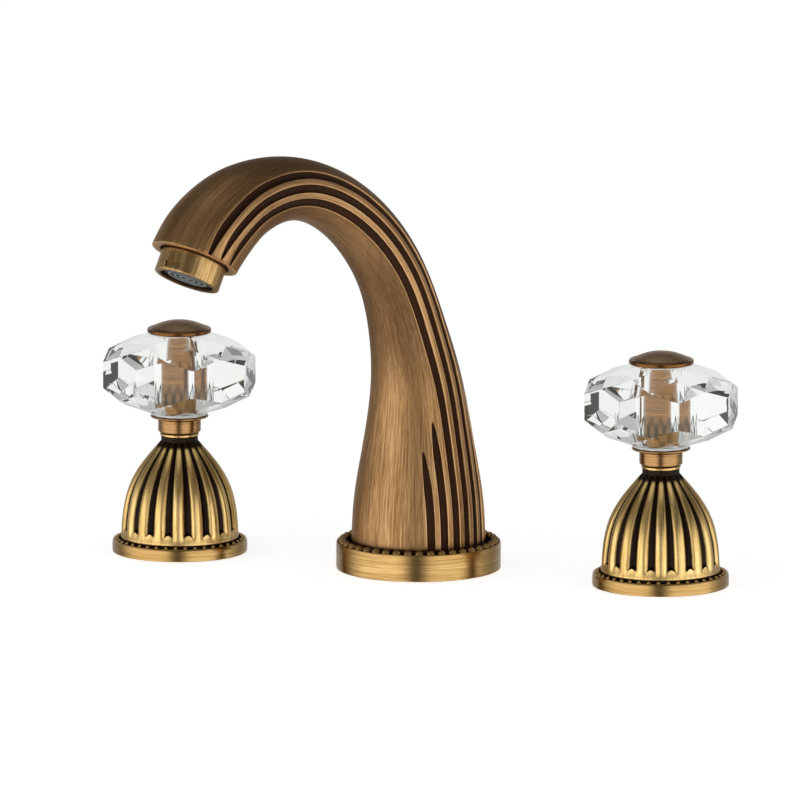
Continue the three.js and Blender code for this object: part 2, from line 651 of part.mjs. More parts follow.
function addValve(name, side) {
  const valve = new THREE.Group();
  valve.position.x = -side * VALVE_SPREAD;
  model.add(valve);
  const add = (piece, geometry, colour) => place(valve, `${name}_${piece}`, geometry, colour);
  const bore = VALVE_R + GAP;
  const clamp = underDeck(VALVE_R, VALVE_NUT_FLATS, NUT_HEIGHT - 1);

  add('gasket', washer(bore + 0.5, RING_GASKET_R, 0, 1.2, SEEN_SIDES), 'rubber');
  add('base_ring', baseRing(), 'bright_brass');
  add('bell', bell(), 'bright_brass');
  add('valve_body', valveBody(side), 'raw_brass');
  add('lock_nut', hexNut(LOCK_NUT_FLATS, bore, 3.8, 9.5), 'raw_brass');
  add('rubber_washer', clamp.rubber, 'rubber');
  add('steel_washer', clamp.steel, 'steel');
  add('lower_nut', clamp.nut, 'raw_brass');
  add('cartridge_seal', washer(INLET_BORE + 0.3, 9, -11.7, -10.2), 'rubber');
  add('cartridge_body', cartridgeBody(), 'plastic');
  add('disc_fixed', ceramicDisc(-9.6, -6.1), 'ceramic');
  add('bonnet_nut', turned([
    [12.7, 14], [14.3, 14], [14.3, 24.5], [6, 24.5], [6, 22.6], [12.7, 22.6],
  ], FITTED_SIDES), 'raw_brass');

  add('disc_turning', ceramicDisc(-5.8, -2.8), 'ceramic');
  add('spindle', spindle(), 'raw_brass');

  const knob = new THREE.Group();
  knob.position.z = KNOB_LIFT;
  valve.add(knob);
  const addToKnob = (piece, geometry, colour) => place(knob, `${name}_${piece}`, geometry, colour);
  addToKnob('knob_collar', knobCollar(), 'brass');
  addToKnob('knob_sleeve', knobSleeve(), 'bright_brass');
  addToKnob('knob_screw', knobScrew(), 'steel');
  addToKnob('crystal_pad', washer(SLEEVE_R + GAP, 11, 53.5, 54.4), 'plastic');
  addToKnob('knob_crystal', knobCrystal(), 'crystal');
  addToKnob('knob_cap', knobCap(), 'dark_brass');
}

addSpout();
addValve('hot', 1);
addValve('cold', -1);

export default model;
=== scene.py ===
"""Looks of a three-hole basin mixer: arched brass spout and two crystal-knob valves.

Shapes are written in millimetres in the part's own frame, and scaled as their meshes are made.
"""

import json
import math

import bmesh
import bpy
import numpy as np
from mathutils import Matrix, Vector


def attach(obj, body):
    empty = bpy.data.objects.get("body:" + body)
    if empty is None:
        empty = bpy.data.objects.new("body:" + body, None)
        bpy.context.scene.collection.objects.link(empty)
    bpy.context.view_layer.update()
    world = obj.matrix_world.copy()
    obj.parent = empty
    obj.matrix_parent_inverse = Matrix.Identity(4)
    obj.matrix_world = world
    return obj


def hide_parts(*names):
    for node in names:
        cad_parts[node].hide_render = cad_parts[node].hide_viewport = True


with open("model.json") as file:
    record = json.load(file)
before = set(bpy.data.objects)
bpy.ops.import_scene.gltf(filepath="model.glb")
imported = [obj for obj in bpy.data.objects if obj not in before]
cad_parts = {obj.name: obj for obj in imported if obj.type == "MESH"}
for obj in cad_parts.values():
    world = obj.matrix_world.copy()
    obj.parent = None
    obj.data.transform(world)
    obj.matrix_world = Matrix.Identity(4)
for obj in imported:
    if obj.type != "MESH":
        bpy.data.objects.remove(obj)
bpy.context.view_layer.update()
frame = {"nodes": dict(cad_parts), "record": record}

MM = 0.001
TURN = 2 * math.pi

# -------------------- driving dimensions, in mm
JOINTS = {joint["name"]: joint for joint in frame["record"]["behaviour"]["joints"]}
VALVE_X = {side: JOINTS[f"{side}_knob_turn"]["pos_m"][0] / MM for side in ("hot", "cold")}
SPOUT_TURN = math.radians(-22)

# the spout's centre line: reach and height, with the body's radius there
SPOUT_STATIONS = (
    (0, 5.6, 26.1), (0, 26.8, 25.2), (0, 48.5, 21.8), (1.5, 74.3, 17.7), (6.1, 93.9, 15.2),
    (15.4, 117.1, 13.5), (26.1, 131.8, 12.9), (45.1, 147.6, 12.15), (70.6, 157.3, 12.15),
    (93.4, 156.6, 14.3), (103.2, 153.7, 15.5), (113.0, 148.3, 16.6), (121.4, 141.3, 17.1),
    (125.2, 136.6, 17.1),
)
OUTLET_TILT = math.radians(28.5)
SPOUT_STEP = 1.3  # between two rings of the body
GRAIN_R = 25.0  # where the grain is read, whatever the piece's own radius
WATERWAY_R = 8.0
SOCKET_R = 13.15
SOCKET_DEPTH = 9.8

GROOVE_PITCH = 5.45
GROOVE_DEPTH = 1.25
GROOVE_SIDE = (math.radians(90), math.radians(87), math.radians(79))
# how far short of the rim each long row ends, and the height at which each short row ends
LONG_ROWS = {-1: -1.9, 0: -0.3, 1: -1.5}
SHORT_ROWS = {-5: 47, -4: 54, -3: 62, -2: 70, 2: 62.5, 3: 51}
# across one groove: distance from its middle and share of its depth
GROOVE_HALF = ((0.85, 0.95), (1.32, 0.74), (1.52, 0.28), (1.7, 0.04), (1.98, 0.0))
GROOVE_SECTION = (*((-x, share) for x, share in reversed(GROOVE_HALF)), (0.0, 1.0), *GROOVE_HALF)

AERATOR_R = 12.85
AERATOR_BORE = 11.0
AERATOR_DROP = 9.0

FLANGE_R = 32.0
FLANGE_TOP = 10.75
FLANGE_BEADS = 42
RING_R = 26.4
RING_TOP = 5.1
RING_BEADS = 40

# the bell's outline: radius and height
BELL_STATIONS = (
    (23.1, 6.4), (22.8, 12.5), (21.9, 19.0), (19.6, 26.6), (15.3, 34.1), (10.1, 40.6), (7.4, 43.7),
)
BELL_FOOT = 3.9
BELL_FLUTES = 18
FLUTE_DEPTH = 1.7
RIDGE_TURN = math.radians(-69.6)

KNOB_LIFT = 0.8  # raises the knob's pieces on their spindle
CRYSTAL_MIDDLE = 70.1
CRYSTAL_SIDES = 8
CRYSTAL_TURN = math.radians(-56.7)
CRYSTAL_BORE = 8.1


# -------------------- curves
def smooth_curve(knots, values, at):
    """Reads a natural cubic spline through one value or point per knot."""
    knots, values, at = (np.asarray(item, float) for item in (knots, values, at))
    count, gaps = len(knots), np.diff(knots)
    matrix, right = np.eye(count), np.zeros_like(values)
    for i in range(1, count - 1):
        matrix[i, i - 1 : i + 2] = gaps[i - 1], 2 * (gaps[i - 1] + gaps[i]), gaps[i]
        right[i] = 6 * ((values[i + 1] - values[i]) / gaps[i] - (values[i] - values[i - 1]) / gaps[i - 1])
    bend = np.linalg.solve(matrix, right)
    i = np.clip(np.searchsorted(knots, at, side="right") - 1, 0, count - 2)
    shape = (-1,) + (1,) * (values.ndim - 1)
    gap, before, after = (item.reshape(shape) for item in (gaps[i], at - knots[i], knots[i + 1] - at))
    return (
        (bend[i] * after**3 + bend[i + 1] * before**3) / (6 * gap)
        + (values[i] / gap - bend[i] * gap / 6) * after
        + (values[i + 1] / gap - bend[i + 1] * gap / 6) * before
    )


def smooth_step(value, low, high):
    share = min(1.0, max(0.0, (value - low) / (high - low)))
    return share * share * (3 - 2 * share)


def softened(outline, steps=4):
    """Rounds the corners (radius, height, softness, darkness) of a closed outline. The darkness carries dark
    oxide and painted shade, and below 0 a painted highlight.
    """
    corners = [tuple(corner) + (0.0,) * (4 - len(corner)) for corner in outline]
    points = []
    for i, (radius, height, softness, patina) in enumerate(corners):
        here = Vector((radius, height))
        if softness == 0:
            points.append((radius, height, patina))
            continue
        before = Vector(corners[i - 1][:2]) - here
        after = Vector(corners[(i + 1) % len(corners)][:2]) - here
        start = here + before.normalized() * min(softness, before.length * 0.49)
        end = here + after.normalized() * min(softness, after.length * 0.49)
        for k in range(steps + 1):
            t = k / steps
            point = start * (1 - t) ** 2 + here * (2 * t * (1 - t)) + end * t**2
            points.append((point.x, point.y, patina))
    return points


# -------------------- mesh building
def polar(radius, angle, height=0.0):
    return Vector((radius * math.cos(angle), radius * math.sin(angle), height))


class Shape:
    """Vertices in mm with their faces, how dark each vertex is, and which way its grain runs."""

    def __init__(self):
        self.verts, self.faces, self.patina, self.grain = [], [], [], []

    def add(self, verts, faces, patina, grain=None, move=None):
        start = len(self.verts)
        verts = [Vector(v) for v in verts]
        self.grain += [Vector(v) for v in grain] if grain is not None else verts
        self.verts += [move @ v for v in verts] if move else verts
        self.faces += [tuple(start + i for i in face) for face in faces]
        self.patina += list(patina)
        return self


def turned(outline, sides=96, move=None, shape=None):
    """Turns a closed outline, anticlockwise in (radius, height), round Z."""
    shape = shape or Shape()
    verts, patina, rings = [], [], []
    for radius, height, dark in softened(outline):
        count = 1 if radius < 1e-6 else sides
        rings.append(range(len(verts), len(verts) + count))
        for j in range(count):
            verts.append(polar(radius, TURN * j / sides, height))
            patina.append(dark)
    faces = []
    for lower, upper in zip(rings, rings[1:] + rings[:1]):
        if len(lower) == 1 and len(upper) == 1:
            continue
        for j in range(sides):
            k = (j + 1) % sides
            if len(lower) == 1:
                faces.append((lower[0], upper[k], upper[j]))
            elif len(upper) == 1:
                faces.append((lower[j], lower[k], upper[0]))
            else:
                faces.append((lower[j], lower[k], upper[k], upper[j]))
    return shape.add(verts, faces, patina, move=move)


def round_ring(radius, height, angles, dark):
    """A level ring of (point, grain, darkness) whose grain goes round with it."""
    points = [polar(radius, angle, height) for angle in angles]
    return [(point, point, dark) for point in points]


def ringed(rings):
    """Joins rings of (point, grain, darkness) into one closed skin, the last ring to the first."""
    around = len(rings[0])
    verts = [point for ring in rings for point, _, _ in ring]
    grain = [way for ring in rings for _, way, _ in ring]
    patina = [dark for ring in rings for _, _, dark in ring]
    faces = []
    for i in range(len(rings)):
        lower, upper = i * around, (i + 1) % len(rings) * around
        for j in range(around):
            k = (j + 1) % around
            faces.append((lower + j, lower + k, upper + k, upper + j))
    return Shape().add(verts, faces, patina, grain)


def beads(shape, count, circle, radius, height, bright):
    """Adds a circle of balls, painted dark as shade at their feet; their tops take the given darkness, which
    below 0 is a painted highlight.
    """
    half = 8
    arc = []
    for i in range(half + 1):
        angle = math.pi * (i / half - 0.5)
        shade = 1.0 - (1.0 - bright) * smooth_step(math.sin(angle), -0.1, 0.5)
        arc.append((radius * math.cos(angle) if 0 < i < half else 0.0, radius * math.sin(angle), 0, shade))
    for i in range(count):
        place = polar(circle, TURN * i / count, height)
        turned(arc, 2 * half, Matrix.Translation(place), shape)
    return shape


def make_piece(name, shape, material, body, nodes, slot, place=None, sharp=35):
    """Makes a Blender object of a shape, sets it on its body and lets it stand for CAD nodes."""
    place = place or Matrix.Identity(4)
    mesh = bpy.data.meshes.new(name)
    mesh.from_pydata([(place @ v) * MM for v in shape.verts], [], shape.faces)
    mesh.attributes.new("grain", "FLOAT_VECTOR", "POINT").data.foreach_set(
        "vector", [c for v in shape.grain for c in v]
    )
    # the darkness goes to the material as an attribute: dark oxide and painted shade, and below 0 a painted
    # highlight
    mesh.attributes.new("patina", "FLOAT", "POINT").data.foreach_set("value", shape.patina)
    mesh.materials.append(material)
    mesh.shade_smooth()
    mesh.set_sharp_from_angle(angle=math.radians(sharp))
    piece = bpy.data.objects.new(name, mesh)
    bpy.context.scene.collection.objects.link(piece)
    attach(piece, body)
    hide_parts(*nodes)
    return piece


# -------------------- materials
class Nodes:
    """A node tree, with short calls for the nodes that the materials and the room use."""

    def __init__(self, owner):
        owner.use_nodes = True
        self.tree = owner.node_tree

    def new(self, kind, **settings):
        node = self.tree.nodes.new(f"ShaderNode{kind}")
        for key, value in settings.items():
            setattr(node, key, value)
        return node

    def link(self, source, target):
        self.tree.links.new(source, target)

    def attribute(self, name, output):
        return self.new("Attribute", attribute_name=name).outputs[output]

    def scaled(self, vector, scale):
        node = self.new("VectorMath", operation="MULTIPLY")
        self.link(vector, node.inputs[0])
        node.inputs[1].default_value = scale
        return node.outputs[0]

    def noise(self, vector, detail, roughness):
        node = self.new("TexNoise")
        self.link(vector, node.inputs["Vector"])
        for key, number in (("Scale", 1.0), ("Detail", detail), ("Roughness", roughness)):
            node.inputs[key].default_value = number
        return node.outputs["Fac"]

    def grained(self, per_mm, detail, roughness):
        """Noise fixed to the object, with its fineness per mm along each axis."""
        coordinates = self.new("TexCoord").outputs["Object"]
        return self.noise(self.scaled(coordinates, [share / MM for share in per_mm]), detail, roughness)

    def maths(self, operation, *values):
        node = self.new("Math", operation=operation)
        for socket, value in zip(node.inputs, values):
            if isinstance(value, (int, float)):
                socket.default_value = value
            else:
                self.link(value, socket)
        return node.outputs[0]

    def ranged(self, value, low, high, to_low=0.0, to_high=1.0, **settings):
        node = self.new("MapRange", **settings)
        self.link(value, node.inputs["Value"])
        for key, number in zip(("From Min", "From Max", "To Min", "To Max"), (low, high, to_low, to_high)):
            node.inputs[key].default_value = number
        return node.outputs[0]

    def ramp(self, value, *stops):
        node = self.new("ValToRGB")
        self.link(value, node.inputs["Fac"])
        elements = node.color_ramp.elements
        while len(elements) < len(stops):
            elements.new(0.5)
        for element, (place, colour) in zip(elements, stops):
            element.position = place
            element.color = (*colour, 1.0)
        return node.outputs["Color"]

    def mixed(self, share, first, second):
        node = self.new("Mix", data_type="RGBA")
        self.link(share, node.inputs["Factor"])
        for name, value in (("A", first), ("B", second)):
            socket = [s for s in node.inputs if s.name == name and s.type == "RGBA"][0]
            if isinstance(value, tuple):
                socket.default_value = (*value, 1.0)
            else:
                self.link(value, socket)
        return [s for s in node.outputs if s.type == "RGBA"][0]


class Surface(Nodes):
    """A material with its principled shader."""

    def __init__(self, name):
        self.material = bpy.data.materials.new(name)
        super().__init__(self.material)
        self.shader = self.tree.nodes["Principled BSDF"]

    def give(self, name, value):
        """Links a value to one of the shader's inputs, or sets it there."""
        if isinstance(value, bpy.types.NodeSocket):
            self.link(value, self.shader.inputs[name])
        else:
            self.shader.inputs[name].default_value = value

    def bumped(self, height, strength, distance):
        node = self.new("Bump")
        self.link(height, node.inputs["Height"])
        node.inputs["Strength"].default_value = strength
        node.inputs["Distance"].default_value = distance
        self.give("Normal", node.outputs[0])


def lengthwise(nodes, fine, slow):
    """Grain that runs along the piece's own Z."""
    return nodes.scaled(nodes.attribute("grain", "Vector"), (fine, fine, slow))


def round_about(nodes, fine, slow):
    """Grain that runs round the piece's own Z, as a lathe leaves it."""
    grain = nodes.attribute("grain", "Vector")
    flat = nodes.scaled(grain, (1.0, 1.0, 0.0))
    length = nodes.new("VectorMath", operation="LENGTH")
    nodes.link(flat, length.inputs[0])
    parts = nodes.new("SeparateXYZ")
    nodes.link(grain, parts.inputs[0])
    scales = ((length.outputs["Value"], fine), (parts.outputs["Z"], fine), (parts.outputs["X"], slow))
    joined = nodes.new("CombineXYZ")
    for socket, (value, scale) in zip(joined.inputs, scales):
        nodes.link(nodes.maths("MULTIPLY", value, scale), socket)
    return joined.outputs[0]


# dark colours for the oxide in hollows and for painted shade
BROWN_OXIDE_AND_SHADE = (0.046, 0.020, 0.010)
BLACK_OXIDE_AND_SHADE = (0.022, 0.013, 0.008)
HAIR_SHARE = 0.68  # of the tone comes from the finest streaks


def brushed_brass(
    name, way, dark, middle, bright, roughness, fine=2.4, patina_colour=BLACK_OXIDE_AND_SHADE, cloudy=0.2
):
    """Antique brass: brushed streaks, slow changes of tone, and a second colour where a vertex attribute asks
    for it.

    The attribute is 1 where the second colour is whole, which paints dark oxide and painted shade (on the
    cap, painted light), and below 0 where a painted highlight lightens the brass.
    """
    nodes = Surface(name)
    hair = nodes.noise(way(nodes, fine, 0.06), 3.0, 0.85)
    band = nodes.noise(way(nodes, fine / 3, 0.015), 3.0, 0.6)
    cloud = nodes.noise(nodes.scaled(nodes.attribute("grain", "Vector"), (0.05, 0.05, 0.02)), 2.0, 0.5)
    tone = nodes.maths("MULTIPLY", hair, HAIR_SHARE)
    tone = nodes.maths("MULTIPLY_ADD", band, 1 - HAIR_SHARE - cloudy, tone)
    tone = nodes.maths("MULTIPLY_ADD", cloud, cloudy, tone)
    colour = nodes.ramp(tone, (0.42, dark), (0.5, middle), (0.58, bright))
    patina = nodes.attribute("patina", "Fac")
    # painted highlight: below 0 the attribute lightens the brass towards a brighter tone
    painted_highlight = nodes.ranged(patina, -0.5, 0.0, 1.0, 0.0)
    colour = nodes.mixed(painted_highlight, colour, tuple(min(1.0, c * 1.5 + 0.02) for c in bright))
    specks = nodes.noise(way(nodes, fine / 2, 0.2), 4.0, 0.7)
    ragged = patina
    for noise, share in ((hair, 0.7), (specks, 0.6)):
        ragged = nodes.maths("MULTIPLY_ADD", nodes.maths("SUBTRACT", noise, 0.5), share, ragged)
    # the second colour, with ragged edges: dark oxide and painted shade, and on the cap painted light
    kept = nodes.ranged(ragged, 0.2, 0.8)
    nodes.give("Base Color", nodes.mixed(kept, colour, patina_colour))
    nodes.give("Metallic", nodes.ranged(kept, 0.0, 1.0, 1.0, 0.93))
    rough = nodes.ranged(tone, 0.35, 0.65, roughness + 0.06, roughness - 0.06)
    nodes.give("Roughness", nodes.maths("MULTIPLY_ADD", kept, 0.15, rough))
    nodes.bumped(hair, 0.3, 0.12 * MM)
    return nodes.material


def plain_brass():
    """Bare brass with the fine turns that a lathe leaves round an upright piece."""
    nodes = Surface("machined_brass")
    cut = nodes.grained((0.2, 0.2, 4.0), 3.0, 0.6)
    cloud = nodes.grained((0.12,) * 3, 3.0, 0.6)
    tone = nodes.maths("MULTIPLY_ADD", cut, 0.5, nodes.maths("MULTIPLY", cloud, 0.5))
    nodes.give("Base Color", nodes.ramp(tone, (0.35, (0.36, 0.22, 0.08)), (0.6, (0.62, 0.42, 0.18))))
    nodes.give("Metallic", 1.0)
    nodes.give("Roughness", nodes.ranged(tone, 0.35, 0.65, 0.42, 0.26))
    nodes.bumped(cut, 0.15, 0.1 * MM)
    return nodes.material


def moulded(name, low, high, roughness, per_mm=1.2, metallic=0.0):
    """Rubber, plastic, ceramic or steel with a fine mottled surface."""
    nodes = Surface(name)
    mottle = nodes.grained((per_mm,) * 3, 5.0, 0.65)
    nodes.give("Base Color", nodes.ramp(mottle, (0.3, low), (0.7, high)))
    nodes.give("Roughness", nodes.ranged(mottle, 0.3, 0.7, roughness - 0.06, roughness + 0.06))
    nodes.give("Metallic", metallic)
    nodes.bumped(mottle, 0.1, 0.05 * MM)
    return nodes.material


def ribbed_plastic():
    """Grey plastic, painted near black as shade in its hollows where the vertex attribute asks for it."""
    nodes = Surface("ribbed_plastic")
    mottle = nodes.grained((1.5,) * 3, 4.0, 0.6)
    raised = nodes.ramp(mottle, (0.3, (0.085, 0.10, 0.11)), (0.7, (0.16, 0.18, 0.19)))
    nodes.give("Base Color", nodes.mixed(nodes.attribute("patina", "Fac"), raised, (0.012, 0.013, 0.015)))
    nodes.give("Roughness", nodes.ranged(mottle, 0.3, 0.7, 0.3, 0.42))
    return nodes.material


def cut_crystal():
    """Clear glass that bends light a little less than cut crystal does, with a faint painted glow that
    lightens it.
    """
    nodes = Surface("cut_crystal")
    mottle = nodes.grained((0.08,) * 3, 2.0, 0.5)
    nodes.give("Base Color", nodes.ramp(mottle, (0.3, (0.86, 0.88, 0.86)), (0.7, (0.91, 0.92, 0.905))))
    nodes.give("Transmission Weight", 1.0)
    # painted light: a faint greenish glow from the glass itself
    nodes.give("Emission Color", (0.76, 0.84, 0.74, 1))
    nodes.give("Emission Strength", 0.012)
    nodes.give("IOR", 1.46)
    nodes.give("Roughness", 0.0)
    return nodes.material


# each brass: the way of its grain, its dark, middle and bright tones, its roughness
SPOUT_BRASS = brushed_brass(
    "antique_brass_long", lengthwise, (0.25, 0.13, 0.05), (0.415, 0.23, 0.094), (0.58, 0.35, 0.165), 0.46,
    patina_colour=BROWN_OXIDE_AND_SHADE, cloudy=0.15,
)
TURNED_BRASS = brushed_brass(
    "antique_brass_turned", round_about, (0.36, 0.205, 0.066), (0.46, 0.28, 0.098), (0.56, 0.365, 0.142), 0.2,
    cloudy=0.05,
)
COPPER_BRASS = brushed_brass(
    "antique_brass_copper", round_about, (0.29, 0.155, 0.058), (0.37, 0.205, 0.08), (0.45, 0.265, 0.112),
    0.22, cloudy=0.05,
)
SLEEVE_BRASS = brushed_brass(
    "antique_brass_sleeve", round_about, (0.20, 0.085, 0.018), (0.36, 0.16, 0.034), (0.54, 0.26, 0.06), 0.22,
    fine=1.6, cloudy=0.05,
)
GOLD_BRASS = brushed_brass(
    "antique_brass_gold", lengthwise, (0.25, 0.14, 0.048), (0.46, 0.285, 0.108), (0.64, 0.43, 0.19), 0.3,
    fine=1.6, patina_colour=(0.075, 0.036, 0.016), cloudy=0.1,
)
BRIGHT_BRASS = brushed_brass(
    "rubbed_brass", lengthwise, (0.54, 0.335, 0.115), (0.76, 0.51, 0.18), (0.90, 0.65, 0.28), 0.3
)
# the cap's second colour is lighter than its brass: painted light that lifts the dome
CAP_BRASS = brushed_brass(
    "dark_brass", round_about, (0.11, 0.048, 0.015), (0.18, 0.08, 0.026), (0.26, 0.125, 0.045), 0.24,
    patina_colour=(0.62, 0.41, 0.245), cloudy=0.05,
)
MACHINED_BRASS = plain_brass()
RUBBER = moulded("black_rubber", (0.012, 0.012, 0.011), (0.03, 0.029, 0.027), 0.75)
DARK_PLASTIC = moulded("dark_plastic", (0.02, 0.022, 0.026), (0.06, 0.064, 0.072), 0.4)
CLEAR_PLASTIC = moulded("pale_plastic", (0.55, 0.56, 0.54), (0.68, 0.69, 0.67), 0.35)
STEEL = moulded("steel", (0.42, 0.42, 0.41), (0.6, 0.6, 0.58), 0.3, 2.0, 1.0)
RIBBED_PLASTIC = ribbed_plastic()
CERAMIC = moulded("ceramic", (0.68, 0.66, 0.6), (0.8, 0.78, 0.73), 0.25)
CRYSTAL = cut_crystal()


# -------------------- spout body
class Spout:
    """The spout's centre line, its radius, and the frame of a section at any length along it."""

    def __init__(self):
        stations = np.array(SPOUT_STATIONS)
        chords = np.hypot(*np.diff(stations[:, :2], axis=0).T)
        self.knots = np.concatenate(([0.0], np.cumsum(chords)))
        self.stations = stations
        self.length = self.knots[-1]

    def at(self, along):
        """Reach, height, radius and slope (from straight up, towards the outlet)."""
        here, ahead, behind = smooth_curve(self.knots, self.stations, [along, along + 0.05, along - 0.05])
        slope = math.atan2(ahead[0] - behind[0], ahead[1] - behind[1])
        end = math.pi - OUTLET_TILT
        slope += (end - self._end_slope()) * smooth_step(along, self.length - 14, self.length)
        slope *= smooth_step(along, 0, 10)
        return (*here, slope)

    def _end_slope(self):
        last, previous = smooth_curve(self.knots, self.stations, [self.length, self.length - 0.1])
        return math.atan2(last[0] - previous[0], last[1] - previous[1])

    def length_at_height(self, height):
        lengths = np.linspace(0, self.length * 0.5, 400)
        heights = smooth_curve(self.knots, self.stations, lengths)[:, 1]
        return float(np.interp(height, heights, lengths))

    def point(self, section, radius, angle, drop=0.0):
        """A point of a section. The angle runs from the back of the bend."""
        reach, height, _, slope = section
        back, out = radius * math.cos(angle), -radius * math.sin(angle)
        y = -reach + back * math.cos(slope) - drop * math.sin(slope)
        z = height + back * math.sin(slope) + drop * math.cos(slope)
        return Vector((out, y, z))


SPOUT = Spout()


def straight_grain(angle, along):
    """Grain that keeps to its own line along a piece whose radius changes."""
    return polar(GRAIN_R, angle, along)


# half the way round the spout's foot, which is the width that one flank's columns start from
BASE_HALF = math.pi / 2 * SPOUT_STATIONS[0][2]


def groove_columns():
    """Columns down one flank: base distance from the middle row, its row, offset and depth share."""
    rows = sorted({**SHORT_ROWS, **LONG_ROWS})
    columns = []
    for row in rows:
        columns += [(row * GROOVE_PITCH, row, offset, depth) for offset, depth in GROOVE_SECTION]
        if row != rows[-1]:
            for offset in (2.45, 3.0):
                columns.append((row * GROOVE_PITCH + offset, None, 0.0, 0.0))
    back_edge = rows[0] * GROOVE_PITCH + GROOVE_SECTION[0][0]
    front_edge = rows[-1] * GROOVE_PITCH + GROOVE_SECTION[-1][0]
    back = [(x, None, 0.0, 0.0) for x in np.linspace(-BASE_HALF, back_edge, 9)[:-1]]
    front = [(x, None, 0.0, 0.0) for x in np.linspace(front_edge, BASE_HALF, 17)[1:]]
    return back + columns + front


def groove_tips():
    """Where each row ends along the spout, with the length over which it narrows."""
    tips = {row: (SPOUT.length - gap, 11.0) for row, gap in LONG_ROWS.items()}
    tips.update({row: (SPOUT.length_at_height(height), 15.0) for row, height in SHORT_ROWS.items()})
    return tips


def kept_reach(along, sign, tips):
    """How far from the middle row the grooves reach at this length, on one side of it."""
    reach = GROOVE_PITCH + GROOVE_SECTION[-1][0]
    for row in sorted((row for row in SHORT_ROWS if row * sign > 0), key=abs):
        reach += GROOVE_PITCH * (1 - smooth_step(along, tips[row][0], tips[row][0] + 14))
    return reach


def crown_painted_shade(along):
    """Painted shade on the smooth flanks: most over the crown, little at the foot and the outlet."""
    tone = 0.54 * smooth_step(along, 38, 100) * (1 - 0.2 * smooth_step(along, 120, 150))
    return tone * (1 - 0.8 * smooth_step(along, SPOUT.length - 40, SPOUT.length - 8))


def spout_ring(along, columns, tips):
    """One ring of the body: its grooves, cut and dark with oxide, painted shade over the crown and at the
    foot, and a painted highlight on the lands between the grooves and along their shoulders.
    """
    section = SPOUT.at(along)
    radius = section[2]
    side = float(np.interp(along / SPOUT.length, (0, 0.6, 1), GROOVE_SIDE))
    crown_shade = crown_painted_shade(along)
    # painted shade where the body stands in the flange
    foot_painted_shade = 1.3 * (1 - smooth_step(along, 5.4, 7.0))
    limits = {-1: side * radius, 1: (math.pi - side) * radius}
    flank = []
    for x, row, offset, depth_share in columns:
        depth, dark = 0.0, crown_shade
        if row is not None:
            tip, taper = tips[row]
            left = max(0.0, tip - along)
            width = max(0.14, min(1.0, left / taper) ** 0.6)
            depth = GROOVE_DEPTH * depth_share * min(1.0, left / (0.3 * taper))
            x += offset * width
        sign = 1 if x > 0 else -1
        reach = kept_reach(along, sign, tips)
        kept = min(reach, limits[sign] - 1)
        if abs(x) > kept:
            x = sign * (kept + (abs(x) - kept) * (limits[sign] - kept) / (BASE_HALF - kept))
        elif abs(x) < reach:
            # painted highlight on the lands between grooves, stronger towards the outlet
            dark = -0.25 - 0.3 * smooth_step(along, 110, SPOUT.length - 20)
        dark = max(smooth_step(depth, 0.12, 0.6), foot_painted_shade, dark)
        # painted highlight along each groove's shoulders
        if depth_share == GROOVE_SECTION[1][1]:
            dark = max(dark, 0) - 0.6 * min(1.0, left / taper)
        flank.append((side + x / radius, radius - depth, dark))
    mirrored = [(TURN - angle, r, dark) for angle, r, dark in reversed(flank[1:-1])]
    ring = []
    for angle, r, dark in flank + mirrored:
        ring.append((SPOUT.point(section, r, angle), straight_grain(angle, along), dark))
    return ring


def plain_ring(section, radius, angles, dark, drop=0.0):
    """A smooth ring of the spout, in a section or dropped past it."""
    points = [SPOUT.point(section, radius, angle, drop) for angle in angles]
    return [(point, straight_grain(angle, drop), dark) for point, angle in zip(points, angles)]


def spout_body():
    """The casting: grooved skin, outlet rim, aerator socket, waterway, and the hollow of the foot."""
    columns, tips = groove_columns(), groove_tips()
    steps = round(SPOUT.length / SPOUT_STEP)
    rings = [spout_ring(SPOUT.length * i / steps, columns, tips) for i in range(steps)]
    rings.append(spout_ring(SPOUT.length - 0.45, columns, tips))
    around = len(rings[0])
    angles = [TURN * j / around for j in range(around)]
    end = SPOUT.at(SPOUT.length)
    rim = end[2]
    # the rim's rounded edge with a painted highlight, its flat face, and the socket behind it painted dark as
    # shade
    for radius, drop, dark in (
        (rim - 0.1, -0.15, -0.5), (rim - 0.4, 0.0, -0.3), (15.2, 0.0, 0.0), (SOCKET_R + 0.9, 0.0, 0.1),
        (SOCKET_R + 0.6, -0.1, 1.2), (SOCKET_R, -0.7, 1.3), (SOCKET_R, -SOCKET_DEPTH, 1.3),
        (WATERWAY_R, -SOCKET_DEPTH, 1.3),
    ):
        rings.append(plain_ring(end, radius, angles, dark, drop))
    # the waterway, painted dark as shade
    for along in np.linspace(SPOUT.length - 14, SPOUT.length_at_height(46), 36):
        rings.append(plain_ring(SPOUT.at(float(along)), WATERWAY_R, angles, 1.0))
    # the socket for the journal, the hub and the casting's hollow, down to the foot, painted dark as shade
    for radius, height in (
        (WATERWAY_R, 43.5), (9.8, 43.5), (9.8, 11.2), (13.8, 11.2), (13.8, 5.6), (17, 5.6), (17, 22),
        (13, 24), (13, 50), (19.5, 44), (22.3, 26.8), (23, 5.6),
    ):
        rings.append(plain_ring((0, height, radius, 0), radius, angles, 0.6))
    return ringed(rings)


# -------------------- outlet
def outlet_place():
    """Puts a piece built downwards from zero onto the outlet."""
    reach, height, _, _ = SPOUT.at(SPOUT.length)
    tilt = Matrix.Rotation(-OUTLET_TILT, 4, "X")
    return SPOUT_PLACE @ Matrix.Translation((0, -reach, height)) @ tilt


SPOUT_PLACE = Matrix.Rotation(SPOUT_TURN, 4, "Z")
OUTLET_PLACE = outlet_place()


